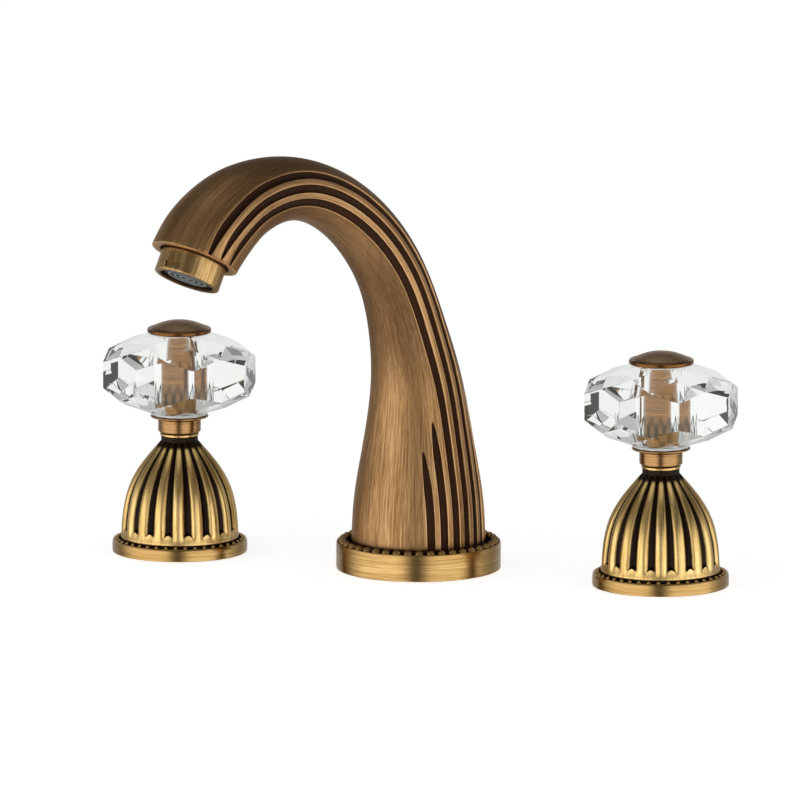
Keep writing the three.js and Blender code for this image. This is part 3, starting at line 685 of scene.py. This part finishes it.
def aerator_housing():
    """The sleeve with its rounded lip and the key slot pressed into its near side, painted dark as shade in
    its bore, on its lip, in the slot and where it meets the spout's rim.
    """
    middle, half, wall = math.radians(-82), 3.8 / AERATOR_R, 0.012
    lip_r, lip_top = AERATOR_BORE - 0.6, 1.2 - AERATOR_DROP
    columns = sorted(
        [TURN * j / 120 for j in range(120)]
        + [(middle + side * (half - inset)) % TURN for side in (-1, 1) for inset in (0, wall)]
    )
    slot_low, slot_high, slot_depth = -7.6, -5.7, 0.9
    outline = softened([
        (AERATOR_BORE, 8, 0.3, 1), (AERATOR_BORE, lip_top, 0.1, 1),
        (lip_r, lip_top, 0.1, 0.9), (lip_r, -AERATOR_DROP, 0.25, 0.8),
        (AERATOR_R, -AERATOR_DROP, 0.6, 0.2), (AERATOR_R, slot_low - 0.12), (AERATOR_R, slot_low),
        (AERATOR_R, slot_high), (AERATOR_R, slot_high + 0.12), (AERATOR_R, -0.9, 0, 0),
        (AERATOR_R, -0.3, 0, 0.8), (AERATOR_R, 0.3, 0, 1), (AERATOR_R, 8, 0.3, 1),
    ])
    rings = []
    for radius, height, dark in outline:
        beside = radius == AERATOR_R and slot_low - 0.01 <= height <= slot_high + 0.01
        ring = []
        for angle in columns:
            away = abs((angle - middle + math.pi) % TURN - math.pi)
            inside = beside and away < half - wall / 2
            point = polar(radius - slot_depth if inside else radius, angle, height)
            ring.append((point, point, 0.5 if inside else dark))
        rings.append(ring)
    return ringed(rings)


def aerator_insert():
    """The cup and its flow straightener: raised rings, seen from below inside the sleeve's lip, with painted
    shade in the hollows between them and in the cup above.
    """
    low, high, seat, top, cup_r = -8.2, -7.75, -7.5, 6, 10.5
    outline = [(0, low), (1.0, low, 0.1), (1.1, high, 0, 1)]
    for radius in (2.3, 4.5, 6.7):
        outline += [(radius, high, 0, 1), (radius + 0.1, low)]
        outline += [(radius + 1.0, low), (radius + 1.1, high, 0, 1)]
    outline += [(9.0, high, 0.1, 1), (10.2, high, 0.1, 1), (10.2, seat, 0, 1), (cup_r, seat, 0, 1)]
    outline += [(cup_r, top, 0.2, 1), (0, top)]
    return turned(outline)


# -------------------- flanges
def spout_flange():
    """A round plate, hollow underneath, whose rim stands up round a channel with beads in it; the channel and
    the plate's inner walls are painted dark as shade.
    """
    bore, hollow_r, seat, web_low, web_high = 10.8, 29.9, 0.2, 1.8, 3.6
    shape = turned([
        (bore, web_low), (hollow_r, web_low), (hollow_r, seat), (FLANGE_R, seat, 0.5),
        (FLANGE_R, FLANGE_TOP, 2.0), (31.5, FLANGE_TOP, 0.25), (31.4, 10.3, 0, 0.9), (31.3, 9.3, 0.2, 1),
        (28.3, 9.3, 0.3, 1), (28.2, web_high, 0, 1), (bore, web_high, 0, 1),
    ], 192)
    return beads(shape, FLANGE_BEADS, 29.65, 1.72, FLANGE_TOP - 0.3, 0.1)


def base_ring():
    """The same for a valve, lower and with smaller beads, whose tops carry a painted highlight."""
    bore, hollow_r, seat, web_low, web_high = 13.6, 24.5, 0.2, 1.5, 3.5
    shape = turned([
        (bore, web_low), (hollow_r, web_low), (hollow_r, seat), (RING_R, seat, 0.4),
        (RING_R, RING_TOP, 1.9), (25.25, RING_TOP, 0.25), (25.2, 4.8, 0, 0.9), (25.1, 4.0, 0.15, 1),
        (23.6, 4.0, 0.2, 1), (23.6, web_high, 0, 1), (bore, web_high, 0, 1),
    ], 160)
    return beads(shape, RING_BEADS, 24.4, 0.82, RING_TOP - 0.15, -0.5)


# -------------------- bell
def bell_radius(height):
    radii, heights = zip(*BELL_STATIONS)
    return float(smooth_curve(heights, radii, [height])[0])


def flute(share, height):
    """Depth under the bell's outline at a share of the pitch from a ridge, and how dark it is: dark oxide in
    the flute, a painted highlight on the ridge's crown and a little painted shade down its sides.
    """
    from_crease, half, rounding = abs(share - 0.5), 0.268, 0.4
    fade = smooth_step(height, 6.4, 9.0)
    if from_crease >= half:
        crown = (0.5 - from_crease) / (0.5 - half)
        return rounding * crown**2 * fade, 0.5 * (crown**2 - 0.75) * fade
    across = from_crease / half
    foot = 7.9 + 2.0 * (1 - across**2)
    opened = smooth_step(height, foot, foot + 1.0)
    depth = rounding * fade + FLUTE_DEPTH * (1 - across**1.5) * opened
    kept = smooth_step(1 - across, 0.02, 0.55) * smooth_step(height, foot - 0.1, foot + 0.1)
    return depth, max(kept * 1.15, 0.12 * fade)


def bell_ring(height, angles, per_flute):
    """One ring of the bell's fluted outside: dark oxide in its flutes, painted shade at its foot against the
    ring and where it narrows into its neck, and a darker plain band above the foot.
    """
    foot_r = BELL_STATIONS[0][0]
    radius = bell_radius(height) if height > 6.5 else foot_r - (0.2 if height < 4 else 0)
    scale = (radius / 22) ** 0.6  # the flutes get shallower as the bell narrows
    foot_painted_shade = 1.3 * (1 - smooth_step(height, 5.6, 6.4))
    band_dark = 0.3 * (1 - smooth_step(height, 7.0, 9.0))
    neck_painted_shade = 1.2 * smooth_step(height, 40.5, 43.4)
    ring = []
    for j, angle in enumerate(angles):
        depth, dark = flute((j % per_flute) / per_flute, height)
        dark = max(dark, foot_painted_shade) if foot_painted_shade > 0 else max(dark, band_dark) + neck_painted_shade
        ring.append((polar(radius - scale * depth, angle, height), straight_grain(angle, height), dark))
    return ring


def bell():
    per_flute = 20
    around = BELL_FLUTES * per_flute
    angles = [TURN * j / around + RIDGE_TURN for j in range(around)]
    foot = [BELL_FOOT, 4.2, 5.2, 5.8, 6.3, 6.7, 7.2]
    heights = foot + list(np.arange(7.7, 11.4, 0.17)) + list(np.linspace(11.8, BELL_STATIONS[-1][1], 44))
    rings = [bell_ring(height, angles, per_flute) for height in heights]
    # the plain neck with its bead, painted dark as shade below the bead, then the hollow that holds the
    # valve, painted dark as shade down to the foot
    for radius, height, dark in (
        (7.2, 44.0, 1.2), (7.2, 46.0, 1), (7.55, 46.15, 0.1), (7.6, 46.4, 0.05), (7.6, 46.8, -0.05),
        (7.4, 47.0, 0.2), (5.2, 47.0, 1), (5.2, 38.5, 1), (13, 29, 1), (14.6, 25, 1), (14.6, 20, 1),
        (18.0, 18.5, 1), (19.4, 14, 1), (20.2, 8, 1), (20.6, BELL_FOOT, 1),
    ):
        rings.append(round_ring(radius, height, angles, dark))
    return ringed(rings)


# -------------------- knob
# heights where the knob's pieces meet
COLLAR_FOOT = 46.6
COLLAR_TOP = 53.2
SLEEVE_FOOT = 53.5
SLEEVE_TOP = 82.4
CAP_FOOT = 84
CAP_SEAT = 85.8
CAP_TOP = 90.7
KNOB_BORE = 4.6  # of the collar, and of the sleeve's upper end


def knob_collar():
    # painted shade at the collar's foot and in the corner under its lip
    return turned([
        (KNOB_BORE, COLLAR_FOOT), (7.6, COLLAR_FOOT, 0.3, 0.3), (8.35, 46.9, 0.4), (8.35, 51.6, 0.5),
        (8.0, 52.0, 0.2, 0.6), (11.2, 52.5, 0.3), (11.45, 52.9, 0.25), (11.2, COLLAR_TOP, 0.2),
        (KNOB_BORE, COLLAR_TOP),
    ])


def knob_sleeve():
    """The brass core inside the crystal: socket for the spindle, screw hole, seat for the cap."""
    radius, socket_r, screw_r, socket_top, counterbore = 7.75, 4.35, 2.3, 64, 80
    return turned([
        (socket_r, SLEEVE_FOOT), (radius, SLEEVE_FOOT, 0.2), (radius, SLEEVE_TOP, 0.4),
        (5.2, SLEEVE_TOP, 0.2), (5.2, SLEEVE_TOP + 3), (KNOB_BORE, SLEEVE_TOP + 3),
        (KNOB_BORE, counterbore), (screw_r, counterbore), (screw_r, socket_top), (socket_r, socket_top),
    ])


def knob_cap():
    """A dome lifted with painted light, inside a thin rim with a painted highlight on its top edge, and a
    plug that drops into the sleeve.
    """
    plug_r, rim_r = 4.3, 12.5
    return turned([
        (0, CAP_FOOT), (plug_r, CAP_FOOT), (plug_r, CAP_SEAT), (11.9, CAP_SEAT, 0.3), (rim_r, 86.1, 0.3),
        (rim_r, 87.4, 0.35), (12.0, 87.75, 0.15, -0.4), (11.5, 87.7, 0.15, 0.2), (11.2, 87.85, 0.1, 0.4),
        (9.4, 88.75, 2, 0.75), (5.6, 90.15, 2.5, 0.7), (1.8, CAP_TOP, 1.5, 0.6), (0, CAP_TOP, 0, 0.6),
    ], 128)


def knob_crystal_mesh(name):
    """Cut crystal with planar facets: a girdle, apexes over its flats, a crown and a table."""
    half_turn = math.pi / CRYSTAL_SIDES
    girdle_r, girdle_z, apex_r, apex_z, crown_r, table_r = 30.4, 5.2, 28.1, 8.7, 21.5, 12.5
    apex_in, crown_in = apex_r * math.cos(half_turn), crown_r * math.cos(half_turn)
    crown_z = girdle_z + (girdle_r - crown_r) * (apex_z - girdle_z) / (girdle_r - apex_in)
    table_z = crown_z + (crown_in - table_r) * (crown_z - apex_z) / (apex_r - crown_in)
    cage = bmesh.new()
    for k in range(CRYSTAL_SIDES):
        edge = CRYSTAL_TURN + 2 * half_turn * k
        for way in (1, -1):
            for radius, height, angle in (
                (girdle_r, girdle_z, edge), (apex_r, apex_z, edge + half_turn),
                (crown_r, crown_z, edge), (table_r, table_z, edge + half_turn),
            ):
                cage.verts.new(polar(radius, angle, CRYSTAL_MIDDLE + way * height) * MM)
    bmesh.ops.convex_hull(cage, input=cage.verts)
    bmesh.ops.dissolve_limit(cage, angle_limit=math.radians(1.5), verts=cage.verts, edges=cage.edges)
    mesh = bpy.data.meshes.new(name)
    cage.to_mesh(mesh)
    cage.free()
    return mesh


def carved(piece, shape, place, operation="DIFFERENCE"):
    """Cuts a closed shape out of a piece, or joins it on."""
    tool_mesh = bpy.data.meshes.new("tool")
    tool_mesh.from_pydata([(place @ v) * MM for v in shape.verts], [], shape.faces)
    tool = bpy.data.objects.new("tool", tool_mesh)
    bpy.context.scene.collection.objects.link(tool)
    cut = piece.modifiers.new("tool", "BOOLEAN")
    cut.object, cut.operation, cut.solver = tool, operation, "EXACT"
    bake_modifiers(piece)
    bpy.data.objects.remove(tool)


def bored(piece, radius, low, high, place, sides=48):
    """Cuts a round hole through a piece."""
    carved(piece, turned([(0, low), (radius, low), (radius, high), (0, high)], sides), place)


def bake_modifiers(piece):
    """Puts a piece's modifiers into its mesh."""
    depsgraph = bpy.context.evaluated_depsgraph_get()
    mesh = bpy.data.meshes.new_from_object(piece.evaluated_get(depsgraph))
    piece.modifiers.clear()
    piece.data = mesh


def make_crystal(side, place):
    """The cut crystal, bored for the sleeve, with its edges just eased."""
    name = f"{side}_crystal"
    piece = bpy.data.objects.new(name, knob_crystal_mesh(name))
    bpy.context.scene.collection.objects.link(piece)
    bored(piece, CRYSTAL_BORE, 40, 100, Matrix.Identity(4), 96)
    eased = piece.modifiers.new("eased", "BEVEL")
    eased.width, eased.segments = 0.14 * MM, 1
    eased.limit_method, eased.angle_limit = "ANGLE", math.radians(12)
    bake_modifiers(piece)
    piece.data.transform(Matrix.Translation(place.to_translation() * MM))
    piece.data.materials.clear()
    piece.data.materials.append(CRYSTAL)
    piece.data.shade_smooth()
    piece.data.set_sharp_from_angle(angle=math.radians(7))
    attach(piece, f"{side}_knob")
    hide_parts(f"{side}_knob_crystal")


# -------------------- under the countertop
DECK = 25  # thickness of the countertop
WASHER_R = 22
SHANK_R = 10.4
PIPE_R = 13.2  # the valves' threaded bodies
PORT_R = 8.3  # where the hoses screw on
PORT_BORE = 3  # of a port's thread before it is bored through
PORT_END = 27
PORT_THREAD = {"pitch": 1.35, "depth": 0.7}
THREAD_SIDES = 48


def threaded(low, high, radius, inside, top=(), pitch=1.8, depth=0.85):
    """A pipe with a helical thread outside.

    Top and inside carry its outline on from the thread's upper end and back down the bore.
    """
    around = [TURN * j / THREAD_SIDES for j in range(THREAD_SIDES)]
    rows = round((high - low) / pitch * 6)
    rings = []
    for i in range(rows + 1):
        height = low + (high - low) * i / rows
        run_out = min(1.0, (height - low) / pitch, (high - height) / pitch)
        ring = []
        for angle in around:
            root = max(1 - run_out, abs(2 * ((height / pitch - angle / TURN) % 1) - 1))
            point = polar(radius - depth * root, angle, height)
            ring.append((point, point, 0.4 * root))
        rings.append(ring)
    rings += [round_ring(r, height, around, 0) for r, height in (*top, *inside)]
    return ringed(rings)


def hex_nut(flats, bore, low, high):
    """A nut with chamfered corners and an eased bore."""
    around = [TURN * j / 72 for j in range(72)]
    levels = [(low + 0.4 * step, 0.7 * step) for step in range(5)]
    levels += [(high - 0.4 * step, 0.7 * step) for step in range(4, -1, -1)]
    rings = []
    for height, reach in levels:
        ring = []
        for angle in around:
            r = min(flats / 2 / math.cos(angle % (TURN / 6) - TURN / 12), flats / 2 - 0.2 + reach)
            point = polar(r, angle, height)
            ring.append((point, point, 0))
        rings.append(ring)
    for r, height in ((bore + 0.7, high), (bore, high - 0.7), (bore, low + 0.7), (bore + 0.7, low)):
        rings.append(round_ring(r, height, around, 0.3))
    return ringed(rings)


def flat_washer(bore, radius, low, high, easing=0.2):
    return turned([(bore, low, easing), (radius, low, easing), (radius, high, easing), (bore, high, easing)])


def make_clamp(name, pipe_r, flats, nut_height, nodes, place):
    """Rubber washer, steel washer and nut that pull the countertop against the flange."""
    steel_top = -DECK - 2.3
    nut_top = steel_top - 1.8
    rubber, steel, nut = nodes
    shape = flat_washer(pipe_r + 0.5, WASHER_R, -DECK - 2, -DECK, 0.4)
    make_piece(f"{name}_rubber", shape, RUBBER, "base", [rubber], "rubber", place)
    shape = flat_washer(pipe_r + 0.5, WASHER_R, steel_top - 1.5, steel_top)
    make_piece(f"{name}_steel", shape, STEEL, "base", [steel], "steel", place)
    shape = hex_nut(flats, pipe_r + 0.3, nut_top - nut_height, nut_top)
    make_piece(f"{name}_nut", shape, MACHINED_BRASS, "base", [nut], "raw_brass", place, 25)


def threaded_port(low):
    """A length of hose thread from low to the port's end, to be joined on sideways."""
    return threaded(low, PORT_END, PORT_R, [(PORT_BORE, PORT_END), (PORT_BORE, low)], **PORT_THREAD)


def make_tee():
    """The tee on the shank's lower end, where the hoses from both valves meet."""
    low, high, radius = -70, -41, 14
    outline = [(0, low), (radius, low, 0.8), (radius, high, 0.8), (0, high)]
    tee = make_piece("tee", turned(outline), MACHINED_BRASS, "base", ["inlet_tee"], "raw_brass")
    sideways = Matrix.Translation((0, 0, -60)) @ Matrix.Rotation(math.pi / 2, 4, "Y")
    carved(tee, threaded_port(-PORT_END), sideways, "UNION")
    bored(tee, SHANK_R + 0.3, -53, high + 1, Matrix.Identity(4))
    bored(tee, 6, -64, -52, Matrix.Identity(4))
    bored(tee, 5.3, -PORT_END - 1, PORT_END + 1, sideways)


def make_valve_body(side, place):
    """A threaded body with its inlet underneath and its outlet towards the spout."""
    low, neck_r, high, chamber_r, chamber_low, inlet_r = -62, 12.35, 20, 11.2, -12, 5.5
    bore = [(chamber_r, high), (chamber_r, chamber_low), (inlet_r, chamber_low), (inlet_r, low)]
    shape = threaded(low, 11.5, PIPE_R, bore, [(neck_r, 12.2), (neck_r, high)])
    name, nodes = f"{side}_threaded_body", [f"{side}_valve_body"]
    body = make_piece(name, shape, MACHINED_BRASS, "base", nodes, "raw_brass", place)
    port_way = -1 if VALVE_X[side] > 0 else 1
    port = place @ Matrix.Translation((0, 0, -47)) @ Matrix.Rotation(port_way * math.pi / 2, 4, "Y")
    carved(body, threaded_port(6.5), port, "UNION")
    bored(body, 4.5, 4, PORT_END + 1, port)


def shank_shape():
    """The tube that the spout turns on: a foot plate, a journal and grooves for its two o-rings."""
    foot_r, journal_r, groove_r, bore = 15, 9.4, 6.6, 5.5
    low, top = -52, 42
    outline = [(foot_r, 3.9), (foot_r, 5.3), (journal_r, 5.3)]
    outline += [(journal_r, 14), (8.2, 14), (8.2, 20), (journal_r, 20)]
    for height in (27, 35):
        outline += [(journal_r, height - 1.6), (groove_r, height - 1.6)]
        outline += [(groove_r, height + 1.6), (journal_r, height + 1.6)]
    outline += [(journal_r, top), (bore, top), (bore, low)]
    return threaded(low, 3, SHANK_R, outline)


def make_under_deck():
    """What seals and clamps the set to the countertop, and carries its water."""
    gasket = flat_washer(11.2, 29.6, 0, 1.5)
    make_piece("spout_seal", gasket, RUBBER, "base", ["spout_gasket"], "rubber")
    make_piece("shank", shank_shape(), MACHINED_BRASS, "base", ["spout_shank"], "raw_brass")
    clamp = ["spout_rubber_washer", "spout_steel_washer", "spout_mounting_nut"]
    make_clamp("clamp", SHANK_R, 32, 8, clamp, Matrix.Identity(4))
    make_tee()
    for side, x in VALVE_X.items():
        place = Matrix.Translation((x, 0, 0))
        seal = flat_washer(PIPE_R + 0.8, 24.2, 0, 1.2)
        make_piece(f"{side}_seal", seal, RUBBER, "base", [f"{side}_gasket"], "rubber", place)
        clamp = [f"{side}_rubber_washer", f"{side}_steel_washer", f"{side}_lower_nut"]
        make_clamp(f"{side}_clamp", PIPE_R, 36, 7, clamp, place)
        nut, nodes = hex_nut(33, PIPE_R + 0.3, 3.8, 9.5), [f"{side}_lock_nut"]
        make_piece(f"{side}_top_nut", nut, MACHINED_BRASS, "base", nodes, "raw_brass", place, 25)
        make_valve_body(side, place)


# -------------------- assembly
def make_spout():
    casting = make_piece(
        "spout", spout_body(), SPOUT_BRASS, "spout", ["spout_body"], "antique_brass", SPOUT_PLACE
    )
    set_screw = Matrix.Translation((0, 0, 17)) @ Matrix.Rotation(-math.pi / 2, 4, "X")
    bored(casting, 2.8, 14.5, 40, SPOUT_PLACE @ set_screw)
    make_piece("flange", spout_flange(), TURNED_BRASS, "base", ["spout_flange"], "antique_brass")
    make_piece(
        "aerator_sleeve", aerator_housing(), GOLD_BRASS, "spout", ["aerator_housing"],
        "antique_brass", OUTLET_PLACE,
    )
    make_piece(
        "aerator_rings", aerator_insert(), RIBBED_PLASTIC, "spout", ["aerator_insert", "aerator_screen"],
        "dark_plastic", OUTLET_PLACE,
    )


def make_valve(side):
    place = Matrix.Translation((VALVE_X[side], 0, 0))
    lifted = place @ Matrix.Translation((0, 0, KNOB_LIFT))
    for name, shape, brass, node in (
        ("ring", base_ring(), TURNED_BRASS, "base_ring"), ("fluted_bell", bell(), BRIGHT_BRASS, "bell"),
    ):
        make_piece(f"{side}_{name}", shape, brass, "base", [f"{side}_{node}"], "bright_brass", place)
    for name, shape, brass, slot in (
        ("collar", knob_collar(), COPPER_BRASS, "antique_brass"),
        ("sleeve", knob_sleeve(), SLEEVE_BRASS, "bright_brass"),
        ("cap", knob_cap(), CAP_BRASS, "dark_brass"),
    ):
        make_piece(f"{side}_{name}", shape, brass, f"{side}_knob", [f"{side}_knob_{name}"], slot, lifted)
    make_crystal(side, lifted)


SLOT_MATERIALS = {
    "antique_brass": MACHINED_BRASS, "bright_brass": MACHINED_BRASS, "dark_brass": MACHINED_BRASS,
    "raw_brass": MACHINED_BRASS, "rubber": RUBBER, "dark_plastic": DARK_PLASTIC,
    "clear_plastic": CLEAR_PLASTIC, "steel": STEEL, "ceramic": CERAMIC, "crystal": CRYSTAL,
}


def dress_cad_nodes():
    """Gives each CAD node that still shows the material of its slot."""
    slots = {part["node"]: part["material_slot"] for part in frame["record"]["subparts"]}
    for name, node in frame["nodes"].items():
        node.data.materials.clear()
        node.data.materials.append(SLOT_MATERIALS[slots[name]])


# -------------------- studio
CAMERA_AZIMUTH = math.radians(21)
CAMERA_HEIGHT = math.radians(10)
CAMERA_DISTANCE = 5000
CAMERA_AIM = (-7.191, 65.112)  # right of the spout's foot and up, square to the view
VIEW_WIDTH = 310.98  # what the picture takes in at the spout's axis
SENSOR = 36
FLOOR_SIZE = 12000
FLOOR_GAP = 0.1
LIGHT_PLACE = (0, 200, 1600)
LIGHT_SIZE = 1400
LIGHT_POWER = 1.5  # watts

# level directions from the spout: to the camera's right, and towards the camera
RIGHT = polar(1, CAMERA_AZIMUTH)
FRONT = polar(1, CAMERA_AZIMUTH - TURN / 4)
UPRIGHT = Vector((0, 0, 1))


def make_camera():
    back = FRONT * math.cos(CAMERA_HEIGHT) + UPRIGHT * math.sin(CAMERA_HEIGHT)
    up = back.cross(RIGHT)
    place = (RIGHT * CAMERA_AIM[0] + up * CAMERA_AIM[1] + back * CAMERA_DISTANCE) * MM
    data = bpy.data.cameras.new("camera")
    data.sensor_width = SENSOR
    data.lens = SENSOR * CAMERA_DISTANCE / VIEW_WIDTH
    data.clip_end = 10 * CAMERA_DISTANCE * MM
    camera = bpy.data.objects.new("camera", data)
    camera.matrix_world = Matrix.Translation(place) @ Matrix((RIGHT, up, back)).transposed().to_4x4()
    bpy.context.scene.collection.objects.link(camera)
    bpy.context.scene.camera = camera


def make_floor():
    """A pale floor just under the gaskets, where the countertop would be."""
    bpy.ops.mesh.primitive_plane_add(size=FLOOR_SIZE * MM, location=(0, 0, -FLOOR_GAP * MM))
    floor = bpy.context.object
    floor.name = "floor"
    nodes = Surface("pale_floor")
    nodes.give("Base Color", (0.93, 0.93, 0.93, 1))
    nodes.give("Roughness", 0.9)
    nodes.give("Specular IOR Level", 0.1)
    nodes.give("Emission Color", (1, 1, 1, 1))
    nodes.give("Emission Strength", 0.75)
    floor.data.materials.append(nodes.material)
    floor.visible_glossy = False


# light level of the room by degrees to the right of the camera, as upright surfaces reflect it
ROOM = (
    (-180, 0.6), (-145, 0.42), (-116, 0.36), (-100, 1.0), (-84, 1.6), (-34, 1.7), (-20, 1.4), (-13, 0.4),
    (-6, 0.08), (2, 0.12), (9, 0.6), (18, 1.45), (84, 1.6), (100, 0.7), (122, 0.36), (150, 0.45), (180, 0.6),
)
CEILING_LEVEL = 0.09
WINDOW_WAY = (-35, 62)  # degrees right of the camera and up
WINDOW_LEVEL = 0.15
# how far the room evens out behind the crystals, and to what level
THROUGH_SHARE = 0.7
THROUGH_LEVEL = 0.62


def make_world():
    """A studio with walls of different brightness, a dim ceiling and one large soft window."""
    world = bpy.data.worlds.new("studio")
    bpy.context.scene.world = world
    nodes = Nodes(world)
    way = nodes.new("TexCoord").outputs["Generated"]

    def along(direction):
        node = nodes.new("VectorMath", operation="DOT_PRODUCT")
        nodes.link(way, node.inputs[0])
        node.inputs[1].default_value = direction
        return node.outputs["Value"]

    def eased(value, low, high):
        return nodes.ranged(value, low, high, interpolation_type="SMOOTHSTEP")

    bearing = nodes.maths("ARCTAN2", along(RIGHT), along(FRONT))
    brightest = max(level for _, level in ROOM)
    stops = [(degrees / 360 + 0.5, (level / brightest,) * 3) for degrees, level in ROOM]
    wall = nodes.ramp(nodes.maths("MULTIPLY_ADD", bearing, 1 / TURN, 0.5), *stops)
    wall = nodes.maths("MULTIPLY", wall, brightest)
    ceiling = eased(along(UPRIGHT), 0.12, 0.6)
    room = nodes.maths("MULTIPLY", wall, nodes.maths("SUBTRACT", 1.0, ceiling))
    room = nodes.maths("MULTIPLY_ADD", ceiling, CEILING_LEVEL, room)
    bearing_way, height_way = (math.radians(angle) for angle in WINDOW_WAY)
    toward = FRONT * math.cos(bearing_way) + RIGHT * math.sin(bearing_way)
    toward = toward * math.cos(height_way) + UPRIGHT * math.sin(height_way)
    room = nodes.maths("MULTIPLY_ADD", eased(along(toward), 0.76, 0.90), WINDOW_LEVEL, room)
    through = nodes.maths("MULTIPLY", nodes.new("LightPath").outputs["Is Transmission Ray"], THROUGH_SHARE)
    room = nodes.maths("MULTIPLY", room, nodes.maths("SUBTRACT", 1.0, through))
    room = nodes.maths("MULTIPLY_ADD", through, THROUGH_LEVEL, room)
    nodes.link(room, nodes.tree.nodes["Background"].inputs["Color"])


def make_light():
    """One large soft light overhead, a little behind the spout."""
    place = Vector(LIGHT_PLACE) * MM
    data = bpy.data.lights.new("top", "AREA")
    data.size, data.energy = LIGHT_SIZE * MM, LIGHT_POWER
    light = bpy.data.objects.new("top", data)
    aim = UPRIGHT * 80 * MM - place
    light.matrix_world = Matrix.Translation(place) @ aim.to_track_quat("-Z", "Y").to_matrix().to_4x4()
    bpy.context.scene.collection.objects.link(light)


make_camera()
make_world()
make_light()
make_floor()
make_spout()
for valve_side in ("hot", "cold"):
    make_valve(valve_side)
make_under_deck()
dress_cad_nodes()
bpy.context.scene.view_settings.view_transform = "Standard"
